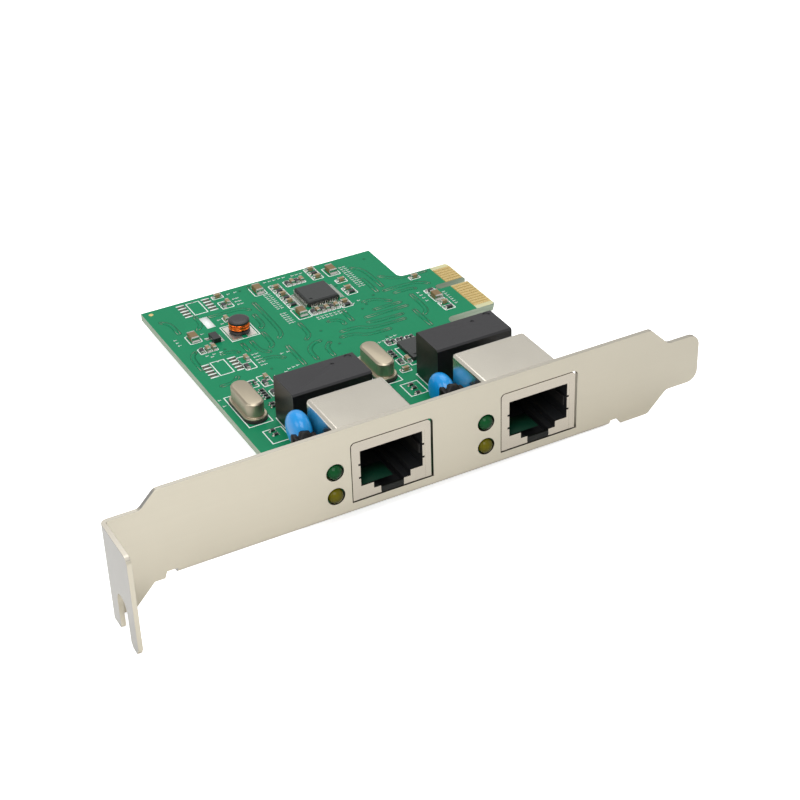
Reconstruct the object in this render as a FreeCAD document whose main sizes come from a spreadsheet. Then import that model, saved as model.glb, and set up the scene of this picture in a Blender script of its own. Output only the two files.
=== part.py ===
import FreeCAD, Part
import math
import os
import re
import Sketcher
from FreeCAD import Vector

# Dual-port network interface card for a PCI Express x1 slot, in millimetres.
#
# The card frame in which every size below is measured: X runs along the bracket from the outer
# face of the screw tab to the tip of the slot tongue, Y runs from the bracket's front face into
# the card, and Z runs up from the bracket's lower edge, with the component side on top. Each
# sub-part's Placement then carries it to the part's own origin, which is the middle of the
# bottom of the box around the whole card.

DIMENSIONS = [
    # Folded steel bracket
    ("bracket_length", 120.02),
    ("bracket_width", 18.42),
    ("sheet_gauge", 0.86),
    ("tab_reach", 11.3),
    ("tab_drop", 4.2),
    ("prong_drop", 4.7),
    ("prong_taper", 0.8),
    ("screw_notch_width", 4.42),
    ("screw_notch_place", 5.8),
    ("screw_notch_top", 4.21),
    ("neck_height", 15.34),
    ("neck_run", 6.8),
    ("neck_taper", 3.0),
    ("foot_run", 4.0),
    ("foot_taper", 3.9),
    ("tongue_width", 10.19),
    ("tongue_length", 7.1),
    ("tongue_taper", 4.15),
    ("tongue_corner", 2.3),
    ("shoulder_corner", 1.4),
    ("inner_bend_radius", 0.44),
    ("lip_start", 12.2),
    ("lip_margin", 19.72),
    ("lip_depth", 3.2),
    ("relief_width", 2.4),
    ("ear_width", 8.0),
    ("ear_margin", 3.6),
    ("ear_corner", 2.0),
    ("left_ear_place", 41.4),
    ("middle_ear_place", 66.3),
    ("ear_screw_place", 11.3),
    # Windows in the bracket for the jacks and the lamps
    ("port_place", 53.8),
    ("port_pitch", 30.48),
    ("window_gap", 0.2),
    ("window_corner", 0.9),
    ("lamp_margin", 3.3),
    ("lamp_hole_gap", 0.22),
    ("lower_lamp_height", 2.54),
    ("upper_lamp_height", 7.62),
    # Circuit board
    ("board_left", 38.3),
    ("board_width", 53.7),
    ("board_gap", 0.05),
    ("board_depth", 80.85),
    ("board_gauge", 1.57),
    ("edge_tab_place", 46.45),
    ("edge_tab_width", 20.3),
    ("edge_tab_length", 12.15),
    ("edge_tab_chamfer", 1.0),
    ("edge_tab_fillet", 1.5),
    ("edge_bevel", 0.5),
    ("key_place", 12.15),
    ("key_width", 1.9),
    ("key_depth", 7.65),
    # Gold edge contacts
    ("contact_pitch", 1.0),
    ("contact_width", 0.7),
    ("contact_length", 3.9),
    ("contact_inset", 0.65),
    ("contact_gauge", 0.05),
    # Screws that clamp the board to the ears
    ("screw_radius", 1.45),
    ("screw_hole_gap", 0.2),
    ("thread_gap", 0.04),
    ("screw_head_radius", 2.75),
    ("screw_head_height", 1.9),
    ("screw_tail", 0.4),
    ("screw_slot", 0.9),
    # Network jacks
    ("jack_width", 15.8),
    ("jack_height", 11.6),
    ("jack_front", 0.15),
    ("jack_depth", 18.1),
    ("jack_lift", 0.17),
    ("shell_gauge", 0.3),
    ("shell_corner", 0.8),
    ("shell_leg_width", 1.3),
    ("shell_leg_place", 13.6),
    ("shell_leg_tail", 0.55),
    ("leg_hole_gap", 0.12),
    ("mouth_width", 12.4),
    ("mouth_floor", 2.7),
    ("mouth_height", 7.4),
    ("lower_slot_place", 4.35),
    ("upper_slot_place", 7.1),
    ("slot_height", 0.4),
    ("slot_reach", 0.4),
    ("latch_width", 7.4),
    ("latch_drop", 1.25),
    ("keyway_width", 4.6),
    ("keyway_drop", 2.35),
    ("insert_gap", 0.06),
    ("insert_setback", 0.05),
    ("cavity_depth", 13.0),
    ("cavity_gap", 0.1),
    ("peg_radius", 1.55),
    ("peg_spread", 5.72),
    ("peg_place", 8.9),
    ("peg_tail", 0.6),
    ("peg_hole_gap", 0.1),
    ("wire_pitch", 1.02),
    ("wire_width", 0.45),
    ("wire_gauge", 0.3),
    ("wire_root", 1.7),
    ("wire_root_length", 1.1),
    ("wire_reach", 8.0),
    ("wire_drop", 2.0),
    # Isolation transformers
    ("transformer_width", 16.5),
    ("transformer_depth", 8.5),
    ("transformer_height", 9.9),
    ("transformer_place", 22.9),
    ("transformer_lift", 0.5),
    ("transformer_chamfer", 0.35),
    ("dimple_across", 5.2),
    ("ejector_radius", 0.75),
    ("ejector_depth", 0.15),
    ("pin_pitch", 1.27),
    ("pin_row_spread", 5.08),
    ("pin_size", 0.45),
    # Quartz crystals
    ("crystal_place", 37.25),
    ("left_crystal_place", 42.4),
    ("crystal_pitch", 28.0),
    ("can_length", 10.0),
    ("can_width", 3.8),
    ("can_height", 3.5),
    ("can_chamfer", 0.35),
    ("flange_rim", 0.45),
    ("flange_height", 0.4),
    ("crystal_base_length", 11.4),
    ("crystal_base_width", 4.8),
    ("crystal_base_height", 0.5),
    # Disc capacitors
    ("disc_radius", 3.7),
    ("disc_thickness", 2.5),
    ("disc_flat_radius", 1.85),
    ("disc_shoulder_radius", 3.1),
    ("disc_slope", 0.25),
    ("disc_rim", 0.9),
    ("disc_gap", 0.15),
    ("left_disc_place", 17.2),
    ("right_disc_place", 18.4),
    ("left_disc_lift", 7.0),
    ("right_disc_lift", 4.5),
    ("disc_leg_spread", 5.0),
    ("disc_leg_radius", 0.3),
    # Signal lamps
    ("lamp_radius", 1.5),
    ("lamp_proud", 0.9),
    ("lamp_length", 4.5),
    ("lamp_flange_radius", 1.9),
    ("lamp_flange_height", 0.8),
    ("lead_spread", 2.54),
    ("lead_size", 0.45),
    ("lead_bend", 1.0),
    ("lower_lead_run", 1.5),
    ("upper_lead_run", 3.3),
    # Integrated circuits
    ("bridge_size", 7.0),
    ("bridge_height", 1.4),
    ("bridge_place_across", 34.8),
    ("bridge_place_along", 68.4),
    ("bridge_chamfer", 0.25),
    ("bridge_lift", 0.1),
    ("lead_pitch", 0.4),
    ("gull_width", 0.2),
    ("gull_gauge", 0.12),
    ("gull_height", 0.75),
    ("gull_shoulder", 0.35),
    ("gull_reach", 1.0),
    ("controller_size", 7.0),
    ("controller_height", 0.87),
    ("left_controller_across", 16.2),
    ("right_controller_across", 43.2),
    ("controller_along", 38.5),
    # Power inductor
    ("inductor_across", 14.9),
    ("inductor_along", 63.8),
    ("inductor_radius", 2.6),
    ("inductor_height", 3.02),
    ("inductor_flange", 0.75),
    ("inductor_core_radius", 1.2),
    ("winding_radius", 2.35),
    ("winding_turns", 4),
    ("winding_gap", 0.02),
    # Small surface-mounted pieces
    ("chip_length", 1.6),
    ("chip_width", 0.8),
    ("chip_height", 0.5),
    ("tall_chip_height", 0.8),
    ("large_chip_length", 2.9),
    ("large_chip_width", 1.7),
    ("large_chip_height", 1.2),
    ("regulator_length", 2.9),
    ("regulator_width", 1.6),
    ("regulator_height", 1.1),
    ("regulator_across", 9.1),
    ("regulator_along", 63.1),
    ("regulator_lead_width", 0.4),
    ("regulator_lead_pitch", 1.9),
]

# Places of the small pieces on the board, from the board's left edge and front edge. A turn of
# 0 lays the piece along X and a turn of 90 lays it along Y.
RESISTOR_PLACES = [
    (28.9, 67.6, 0), (28.9, 71.0, 0), (28.9, 74.4, 0), (31.2, 62.7, 90), (33.3, 62.7, 90),
    (35.4, 62.7, 90), (31.8, 76.4, 90), (34.0, 76.4, 90), (38.6, 77.6, 0), (38.6, 61.8, 0),
    (41.9, 66.2, 0), (10.4, 50.1, 90), (10.9, 42.8, 90), (5.0, 60.2, 90), (16.3, 74.9, 90),
    (10.8, 38.8, 90), (37.4, 36.0, 90), (56.4, 49.9, 0), (56.4, 58.0, 0),
]
CAPACITOR_PLACES = [
    (28.9, 69.3, 0), (28.9, 72.7, 0), (28.9, 76.1, 0), (32.2, 62.7, 90), (34.3, 62.7, 90),
    (36.5, 62.7, 90), (32.9, 76.4, 90), (35.1, 76.4, 90), (38.6, 75.8, 0), (38.6, 79.4, 0),
    (38.6, 63.1, 0), (41.9, 68.0, 0), (42.3, 71.8, 0), (11.5, 53.0, 90), (11.8, 44.4, 90),
    (6.3, 60.2, 90), (7.6, 60.2, 90), (17.5, 75.6, 90), (16.6, 79.1, 0), (14.4, 69.4, 90),
    (36.8, 32.9, 0), (12.2, 38.8, 90), (38.9, 36.0, 90), (56.4, 52.0, 0), (56.4, 64.9, 0),
]
LARGE_CAPACITOR_PLACES = [
    (5.4, 65.6, 90), (28.9, 63.6, 90), (42.3, 76.6, 90), (25.1, 77.0, 90), (56.3, 55.0, 90),
]

doc = FreeCAD.newDocument("network_card")
dims = doc.addObject("Spreadsheet::Sheet", "dims")
for row, (alias, size) in enumerate(DIMENSIONS, start=1):
    dims.set("A%d" % row, alias)
    dims.set("B%d" % row, str(size))
    dims.setAlias("B%d" % row, alias)
doc.recompute()

SUBPARTS = []


def ref(formula):
    """A formula in which each dimension's name points at its cell in the sheet."""
    return re.sub(r"\b(?!cos\b|sin\b|tan\b|min\b|max\b)([a-z]\w*)", r"dims.\1", formula)


def value(formula):
    """What a formula comes to with the sheet's present sizes."""
    return float(dims.evalExpression(ref(formula)))


# Places that several sub-parts share
BOARD_UNDER = "sheet_gauge"
BOARD_TOP = "sheet_gauge + board_gauge"
BOARD_RIGHT = "board_left + board_width"
BOARD_FRONT = "sheet_gauge + inner_bend_radius + board_gap"
BOARD_FAR = BOARD_FRONT + " + board_depth"
JACK_UNDER = "sheet_gauge + board_gauge + jack_lift"
PORTS = {1: "port_place", 2: "port_place + port_pitch"}
EARS = ["left_ear_place", "middle_ear_place"]
LIP_END = "bracket_length - lip_margin"
SCREW_NOTCH_AXIS = "screw_notch_top - screw_notch_width / 2"


def bind(thing, **formulas):
    """Tie properties to formulas; a double underscore in a name stands for a dot."""
    for name, formula in formulas.items():
        thing.setExpression(name.replace("__", "."), ref(formula))


def finish(thing, label):
    """Name a sub-part and carry it from the card frame to the part's origin."""
    thing.Label = label
    bind(
        thing,
        Placement__Base__x="-bracket_length / 2",
        Placement__Base__y="(tab_reach - (%s)) / 2" % BOARD_FAR,
        Placement__Base__z="prong_drop",
    )
    SUBPARTS.append(thing)
    return thing


def new_body(name):
    return doc.addObject("PartDesign::Body", name + "_body")


def new_sketch(body, name, plane, offset="0"):
    """An empty sketch on one of the body's own origin planes, moved along the plane's normal."""
    sketch = body.newObject("Sketcher::SketchObject", name)
    faces = [face for face in body.Origin.OriginFeatures if face.Role == plane]
    sketch.AttachmentSupport = [(faces[0], "")]
    sketch.MapMode = "FlatFace"
    bind(sketch, AttachmentOffset__Base__z=offset)
    return sketch


def hold(sketch, edge, end, across, up):
    """Hold one end or centre of an edge at a place given by two formulas."""
    for kind, formula in (("DistanceX", across), ("DistanceY", up)):
        index = sketch.addConstraint(
            Sketcher.Constraint(kind, -1, 1, edge, end, value(formula))
        )
        sketch.setExpression("Constraints[%d]" % index, ref(formula))


def polygon(sketch, corners):
    """A closed outline of straight edges, each corner held by its own two formulas."""
    first = sketch.GeometryCount
    count = len(corners)
    places = [Vector(value(across), value(up), 0) for across, up in corners]
    for i in range(count):
        sketch.addGeometry(Part.LineSegment(places[i], places[(i + 1) % count]))
    for i in range(count):
        follower = first + (i + 1) % count
        sketch.addConstraint(Sketcher.Constraint("Coincident", first + i, 2, follower, 1))
    for i, (across, up) in enumerate(corners):
        hold(sketch, first + i, 1, across, up)


def circle(sketch, across, up, radius):
    """A circle held by its centre and its radius."""
    centre = Vector(value(across), value(up), 0)
    edge = sketch.addGeometry(Part.Circle(centre, Vector(0, 0, 1), value(radius)))
    hold(sketch, edge, 3, across, up)
    index = sketch.addConstraint(Sketcher.Constraint("Radius", edge, value(radius)))
    sketch.setExpression("Constraints[%d]" % index, ref(radius))


def rectangle(left, right, low, high):
    return [(left, low), (right, low), (right, high), (left, high)]


def quarter_ring(sketch, across, up, start):
    """Section of a square bend in the sheet: a quarter ring about a centre, from a start angle."""
    steps = {90: ((0, 1), (-1, 0)), 180: ((-1, 0), (0, -1))}[start]
    inner = "inner_bend_radius"
    outer = "(inner_bend_radius + sheet_gauge)"
    centre = Vector(value(across), value(up), 0)
    places = []
    for radius in (outer, inner):
        for i, j in steps:
            places.append(("%s + %s * %d" % (across, radius, i), "%s + %s * %d" % (up, radius, j)))
    points = [Vector(value(a), value(b), 0) for a, b in places]
    low = math.radians(start)
    high = math.radians(start + 90)
    for radius in (outer, inner):
        ring = Part.Circle(centre, Vector(0, 0, 1), value(radius))
        sketch.addGeometry(Part.ArcOfCircle(ring, low, high))
    sketch.addGeometry(Part.LineSegment(points[1], points[3]))
    sketch.addGeometry(Part.LineSegment(points[2], points[0]))
    for a, a_end, b, b_end in ((0, 2, 2, 1), (2, 2, 1, 2), (1, 1, 3, 1), (3, 2, 0, 1)):
        sketch.addConstraint(Sketcher.Constraint("Coincident", a, a_end, b, b_end))
    hold(sketch, 3, 2, *places[0])
    hold(sketch, 2, 1, *places[1])
    hold(sketch, 3, 1, *places[2])
    hold(sketch, 2, 2, *places[3])
    for edge, radius in ((0, outer), (1, inner)):
        index = sketch.addConstraint(Sketcher.Constraint("Radius", edge, value(radius)))
        sketch.setExpression("Constraints[%d]" % index, ref(radius))


def pad(body, sketch, length, reverse=False):
    feature = body.newObject("PartDesign::Pad", sketch.Name + "_pad")
    feature.Profile = sketch
    feature.Reversed = reverse
    bind(feature, Length=length)
    doc.recompute()
    return feature


def pocket(body, sketch, length, reverse=False):
    """A pocket, checked to have taken material away."""
    before = body.Shape.Volume
    feature = body.newObject("PartDesign::Pocket", sketch.Name + "_pocket")
    feature.Profile = sketch
    feature.Reversed = reverse
    bind(feature, Length=length)
    doc.recompute()
    if body.Shape.Volume > before - 1e-6:
        raise RuntimeError(feature.Name + " cuts nothing")
    return feature


def revolution(body, sketch, axis):
    """A full turn of a sketch about one of its own two axes."""
    feature = body.newObject("PartDesign::Revolution", sketch.Name + "_turned")
    feature.Profile = sketch
    feature.ReferenceAxis = (sketch, [axis])
    feature.Angle = 360
    doc.recompute()
    return feature


def edges_where(shape, test):
    """Names of the edges whose two ends and middle pass a test."""
    names = []
    for number, edge in enumerate(shape.Edges, start=1):
        ends = [vertex.Point for vertex in edge.Vertexes]
        if len(ends) == 2 and test(ends[0], ends[1]):
            names.append("Edge%d" % number)
    return names


def upright_at(places, along, within):
    """A test for edges that run along one axis, inside a stretch of it, through given places."""
    axis = "xyz".index(along)
    others = [i for i in range(3) if i != axis]

    def test(start, end):
        if min(start[axis], end[axis]) < within[0] - 1e-4:
            return False
        if max(start[axis], end[axis]) > within[1] + 1e-4:
            return False
        if abs(start[others[0]] - end[others[0]]) > 1e-6:
            return False
        if abs(start[others[1]] - end[others[1]]) > 1e-6:
            return False
        for a, b in places:
            if abs(start[others[0]] - a) < 1e-4 and abs(start[others[1]] - b) < 1e-4:
                return True
        return False

    return test


def round_edges(body, name, radius, places, along="z", kind="Fillet", within=("-999", "999")):
    """Round or chamfer the edges that run along an axis through places given as formulas."""
    base = body.Tip
    spots = [(value(a), value(b)) for a, b in places]
    stretch = (value(within[0]), value(within[1]))
    names = edges_where(base.Shape, upright_at(spots, along, stretch))
    if not names:
        raise RuntimeError(name + " finds no edge")
    feature = body.newObject("PartDesign::" + kind, name)
    feature.Base = (base, names)
    if kind == "Fillet":
        bind(feature, Radius=radius)
    else:
        bind(feature, Size=radius)
    doc.recompute()
    return feature


def round_rim(body, name, size, level, kind="Fillet"):
    """Round or chamfer every edge that lies at one level."""
    base = body.Tip
    height = value(level)

    def at_level(start, end):
        return abs(start.z - height) < 1e-4 and abs(end.z - height) < 1e-4

    feature = body.newObject("PartDesign::" + kind, name)
    feature.Base = (base, edges_where(base.Shape, at_level))
    if kind == "Fillet":
        bind(feature, Radius=size)
    else:
        bind(feature, Size=size)
    doc.recompute()


def box(name, x, y, z, length, width, height):
    """A plain block; its corner and its three sizes are formulas in the card frame."""
    block = doc.addObject("Part::Box", name)
    bind(block, Length=length, Width=width, Height=height)
    bind(block, Placement__Base__x=x, Placement__Base__y=y, Placement__Base__z=z)
    return block


def group(label, pieces):
    """Several separate like solids that share one node."""
    compound = doc.addObject("Part::Compound", label + "_group")
    compound.Links = pieces
    return finish(compound, label)


# ---------------------------------------------------------------- bracket

def make_bracket():
    """One folded sheet: plate, screw tab, lower lip with two ears, windows and lamp holes."""
    body = new_body("bracket")
    plate = new_sketch(body, "plate", "XZ_Plane")
    bend = "(inner_bend_radius + sheet_gauge)"
    middle = "bracket_width / 2"
    tongue_start = "bracket_length - tongue_length"
    shoulder = "bracket_length - tongue_length - tongue_taper"
    neck_end = "neck_run + neck_taper"
    polygon(plate, [
        (bend, "neck_height"),
        ("neck_run", "neck_height"),
        (neck_end, "bracket_width"),
        (shoulder, "bracket_width"),
        (tongue_start, middle + " + tongue_width / 2"),
        ("bracket_length", middle + " + tongue_width / 2"),
        ("bracket_length", middle + " - tongue_width / 2"),
        (tongue_start, middle + " - tongue_width / 2"),
        (shoulder, "0"),
        (LIP_END + " + relief_width", "0"),
        (LIP_END + " + relief_width * 0.6", bend),
        ("lip_start - relief_width * 0.8", bend),
        ("lip_start - relief_width", "0"),
        ("foot_run + foot_taper", "0"),
        ("foot_run", "-tab_drop"),
        (bend, "-tab_drop"),
    ])
    pad(body, plate, "sheet_gauge", reverse=True)

    lip_fold = new_sketch(body, "lip_fold", "YZ_Plane", "lip_start")
    quarter_ring(lip_fold, bend, bend, 180)
    pad(body, lip_fold, LIP_END + " - lip_start")
    lip = new_sketch(body, "lip", "XY_Plane")
    ear_end = "ear_screw_place + ear_margin"
    corners = [("lip_start", bend), (LIP_END, bend), (LIP_END, "lip_depth")]
    for place in reversed(EARS):
        corners += [
            (place + " + ear_width / 2", "lip_depth"),
            (place + " + ear_width / 2", ear_end),
            (place + " - ear_width / 2", ear_end),
            (place + " - ear_width / 2", "lip_depth"),
        ]
    corners.append(("lip_start", "lip_depth"))
    polygon(lip, corners)
    pad(body, lip, "sheet_gauge")
    threads = new_sketch(body, "threads", "XY_Plane")
    for place in EARS:
        circle(threads, place, "ear_screw_place", "screw_radius + thread_gap")
    pocket(body, threads, "sheet_gauge", reverse=True)

    tab_fold = new_sketch(body, "tab_fold", "XY_Plane", "-tab_drop")
    quarter_ring(tab_fold, bend, "-inner_bend_radius", 90)
    pad(body, tab_fold, "tab_drop + neck_height")
    tab = new_sketch(body, "tab", "YZ_Plane")
    near = "-screw_notch_place - screw_notch_width / 2"
    far = "-screw_notch_place + screw_notch_width / 2"
    polygon(tab, [
        ("-inner_bend_radius", "neck_height"),
        ("-tab_reach", "neck_height"),
        ("-tab_reach", "-prong_drop + prong_taper * 1.6"),
        ("-tab_reach + prong_taper", "-prong_drop"),
        (near + " - prong_taper", "-prong_drop"),
        (near, "-prong_drop + prong_taper"),
        (near, SCREW_NOTCH_AXIS),
        (far, SCREW_NOTCH_AXIS),
        (far, "-tab_drop + prong_taper * 0.4"),
        (far + " + prong_taper * 0.4", "-tab_drop"),
        ("-inner_bend_radius", "-tab_drop"),
    ])
    pad(body, tab, "sheet_gauge")
    notch = new_sketch(body, "screw_notch", "YZ_Plane")
    circle(notch, "-screw_notch_place", SCREW_NOTCH_AXIS, "screw_notch_width / 2")
    pocket(body, notch, "sheet_gauge", reverse=True)

    round_edges(
        body, "tab_corner", "shoulder_corner", [("-tab_reach", "neck_height")], along="x"
    )
    round_edges(body, "tongue_tip", "tongue_corner", [
        ("bracket_length", middle + " + tongue_width / 2"),
        ("bracket_length", middle + " - tongue_width / 2"),
    ], along="y")
    round_edges(body, "shoulders", "shoulder_corner", [
        (shoulder, "bracket_width"),
        (tongue_start, middle + " + tongue_width / 2"),
        (tongue_start, middle + " - tongue_width / 2"),
        (shoulder, "0"),
        (neck_end, "bracket_width"),
        ("neck_run", "neck_height"),
        ("foot_run", "-tab_drop"),
    ], along="y")
    ear_corners = []
    for place in EARS:
        ear_corners.append((place + " + ear_width / 2", ear_end))
        ear_corners.append((place + " - ear_width / 2", ear_end))
    round_edges(body, "ear_corners", "ear_corner", ear_corners)

    windows = new_sketch(body, "windows", "XZ_Plane")
    low = JACK_UNDER + " - window_gap"
    high = JACK_UNDER + " + jack_height + window_gap * 4"
    window_corners = []
    for port in PORTS.values():
        left = port + " - jack_width / 2 - window_gap"
        right = port + " + jack_width / 2 + window_gap * 2"
        polygon(windows, rectangle(left, right, low, high))
        window_corners.append((left, high))
        window_corners.append((right, high))
    pocket(body, windows, "sheet_gauge")
    round_edges(body, "window_corners", "window_corner", window_corners, along="y")
    lamp_holes = new_sketch(body, "lamp_holes", "XZ_Plane")
    for port in PORTS.values():
        for height in ("lower_lamp_height", "upper_lamp_height"):
            circle(
                lamp_holes,
                port + " - jack_width / 2 - lamp_margin",
                BOARD_TOP + " + " + height,
                "lamp_radius + lamp_hole_gap",
            )
    pocket(body, lamp_holes, "sheet_gauge")
    finish(body, "bracket")


def make_bracket_screws():
    """Two screws: a domed head on the board and a shank through it into the ear."""
    screws = []
    for number, place in enumerate(EARS, start=1):
        head = doc.addObject("Part::Cylinder", "screw_head_%d" % number)
        bind(head, Radius="screw_head_radius", Height="screw_head_height")
        shank = doc.addObject("Part::Cylinder", "screw_shank_%d" % number)
        bind(shank, Radius="screw_radius", Height="sheet_gauge + board_gauge + screw_tail")
        slot = box(
            "screw_slot_%d" % number,
            place + " - screw_slot / 2",
            "ear_screw_place - screw_head_radius",
            BOARD_TOP + " + screw_head_height / 2",
            "screw_slot",
            "screw_head_radius * 2",
            "screw_head_height",
        )
        for thing, low in ((head, BOARD_TOP), (shank, "-screw_tail")):
            bind(thing, Placement__Base__x=place, Placement__Base__y="ear_screw_place")
            bind(thing, Placement__Base__z=low)
        whole = doc.addObject("Part::Fuse", "screw_blank_%d" % number)
        whole.Base = head
        whole.Tool = shank
        screw = doc.addObject("Part::Cut", "screw_%d" % number)
        screw.Base = whole
        screw.Tool = slot
        screws.append(screw)
    group("bracket_screws", screws)


# ---------------------------------------------------------------- circuit board

def make_circuit_board():
    """The board with its keyed edge tab and the holes that the pieces on it pass through."""
    body = new_body("circuit_board")
    outline = new_sketch(body, "board_outline", "XY_Plane", BOARD_UNDER)
    tab_low = BOARD_FRONT + " + edge_tab_place"
    tab_high = tab_low + " + edge_tab_width"
    tip = BOARD_RIGHT + " + edge_tab_length"
    key_low = tab_low + " + key_place - key_width / 2"
    key_high = tab_low + " + key_place + key_width / 2"
    key_end = tip + " - key_depth + key_width / 2"
    polygon(outline, [
        ("board_left", BOARD_FRONT),
        (BOARD_RIGHT, BOARD_FRONT),
        (BOARD_RIGHT, tab_low),
        (tip + " - edge_tab_chamfer", tab_low),
        (tip, tab_low + " + edge_tab_chamfer"),
        (tip, key_low),
        (key_end, key_low),
        (key_end, key_high),
        (tip, key_high),
        (tip, tab_high + " - edge_tab_chamfer"),
        (tip + " - edge_tab_chamfer", tab_high),
        (BOARD_RIGHT, tab_high),
        (BOARD_RIGHT, BOARD_FAR),
        ("board_left", BOARD_FAR),
    ])
    pad(body, outline, "board_gauge")
    round_edges(body, "tab_roots", "edge_tab_fillet", [
        (BOARD_RIGHT, tab_low), (BOARD_RIGHT, tab_high),
    ])
    key_root = new_sketch(body, "key_root", "XY_Plane", BOARD_UNDER)
    circle(key_root, key_end, tab_low + " + key_place", "key_width / 2")
    pocket(body, key_root, "board_gauge", reverse=True)
    round_edges(body, "insertion_bevel", "edge_bevel", [
        (tip, BOARD_UNDER), (tip, BOARD_TOP),
    ], along="y", kind="Chamfer")
    holes = new_sketch(body, "board_holes", "XY_Plane", BOARD_UNDER)
    for place in EARS:
        circle(holes, place, "ear_screw_place", "screw_radius + screw_hole_gap")
    for port in PORTS.values():
        for side in (" - ", " + "):
            circle(
                holes,
                port + side + "peg_spread",
                "jack_front + peg_place",
                "peg_radius + peg_hole_gap",
            )
            circle(
                holes,
                port + side + "(jack_width - shell_gauge) / 2",
                "jack_front + shell_leg_place",
                "shell_leg_width / 2 + leg_hole_gap",
            )
    pocket(body, holes, "board_gauge", reverse=True)
    finish(body, "circuit_board")


def make_edge_contacts():
    """Gold contact strips on both faces of the edge tab, on each side of the key."""
    tab_low = BOARD_FRONT + " + edge_tab_place"
    start = BOARD_RIGHT + " + edge_tab_length - contact_inset - contact_length"
    key = tab_low + " + key_place"
    near = int((value("key_place - key_width / 2 - edge_tab_chamfer / 2")) / value("contact_pitch"))
    beyond = int(
        value("edge_tab_width - key_place - key_width / 2 - edge_tab_chamfer / 2")
        / value("contact_pitch")
    )
    places = []
    for i in range(near):
        places.append(key + " - key_width / 2 - contact_pitch * %.1f" % (i + 0.5))
    for i in range(beyond):
        places.append(key + " + key_width / 2 + contact_pitch * %.1f" % (i + 0.5))
    strips = []
    for face, low in (("top", BOARD_TOP), ("under", BOARD_UNDER + " - contact_gauge")):
        for i, place in enumerate(places):
            strips.append(box(
                "contact_%s_%d" % (face, i),
                start,
                place + " - contact_width / 2",
                low,
                "contact_length",
                "contact_width",
                "contact_gauge",
            ))
    group("edge_contacts", strips)


# ---------------------------------------------------------------- network jacks

def mouth(port, grow):
    """Outline of the plug opening: a wide mouth over a stepped way for the latch."""
    half = "mouth_width / 2 + " + grow
    latch = "latch_width / 2 + " + grow
    keyway = "keyway_width / 2 + " + grow
    floor = JACK_UNDER + " + mouth_floor - " + grow
    roof = JACK_UNDER + " + mouth_floor + mouth_height + " + grow
    return [
        (port + " - (" + half + ")", roof),
        (port + " - (" + half + ")", floor),
        (port + " - (" + latch + ")", floor),
        (port + " - (" + latch + ")", floor + " - latch_drop"),
        (port + " - (" + keyway + ")", floor + " - latch_drop"),
        (port + " - (" + keyway + ")", floor + " - keyway_drop"),
        (port + " + (" + keyway + ")", floor + " - keyway_drop"),
        (port + " + (" + keyway + ")", floor + " - latch_drop"),
        (port + " + (" + latch + ")", floor + " - latch_drop"),
        (port + " + (" + latch + ")", floor),
        (port + " + (" + half + ")", floor),
        (port + " + (" + half + ")", roof),
    ]


def make_jack_shell(number, port):
    """Plated shield folded round the jack, open below, with two legs through the board."""
    body = new_body("jack_shell_%d" % number)
    left = port + " - jack_width / 2"
    right = port + " + jack_width / 2"
    back = "jack_front + jack_depth"
    top = JACK_UNDER + " + jack_height"
    block = new_sketch(body, "shell_block_%d" % number, "XY_Plane", JACK_UNDER)
    polygon(block, rectangle(left, right, "jack_front", back))
    pad(body, block, "jack_height")
    round_edges(body, "shell_back_%d" % number, "shell_corner", [(left, back), (right, back)])
    round_edges(body, "shell_top_%d" % number, "shell_corner", [
        (left, top), (right, top),
    ], along="y")
    room = new_sketch(body, "shell_room_%d" % number, "XY_Plane", JACK_UNDER)
    polygon(room, rectangle(
        left + " + shell_gauge",
        right + " - shell_gauge",
        "jack_front + shell_gauge",
        back + " - shell_gauge",
    ))
    pocket(body, room, "jack_height - shell_gauge", reverse=True)
    opening = new_sketch(body, "shell_mouth_%d" % number, "XZ_Plane", "-jack_front")
    polygon(opening, mouth(port, "0"))
    pocket(body, opening, "shell_gauge")
    for side in (" - ", " + "):
        for slot_place in ("lower_slot_place", "upper_slot_place"):
            edge = port + side + "(mouth_width / 2 + slot_reach)"
            inner = port + side + "(mouth_width / 2 - slot_reach)"
            low = JACK_UNDER + " + " + slot_place
            span = (edge, inner) if side == " - " else (inner, edge)
            slots = new_sketch(
                body,
                "spring_slot_%d_%s" % (number, len(body.Group)),
                "XZ_Plane",
                "-jack_front",
            )
            polygon(slots, rectangle(span[0], span[1], low, low + " + slot_height"))
            pocket(body, slots, "shell_gauge")
    legs = new_sketch(body, "shell_legs_%d" % number, "XY_Plane", BOARD_UNDER + " - shell_leg_tail")
    low = "jack_front + shell_leg_place - shell_leg_width / 2"
    high = "jack_front + shell_leg_place + shell_leg_width / 2"
    polygon(legs, rectangle(left, left + " + shell_gauge", low, high))
    polygon(legs, rectangle(right + " - shell_gauge", right, low, high))
    pad(body, legs, "shell_leg_tail + board_gauge + jack_lift + shell_gauge")
    finish(body, "jack_shell_%d" % number)


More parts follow.
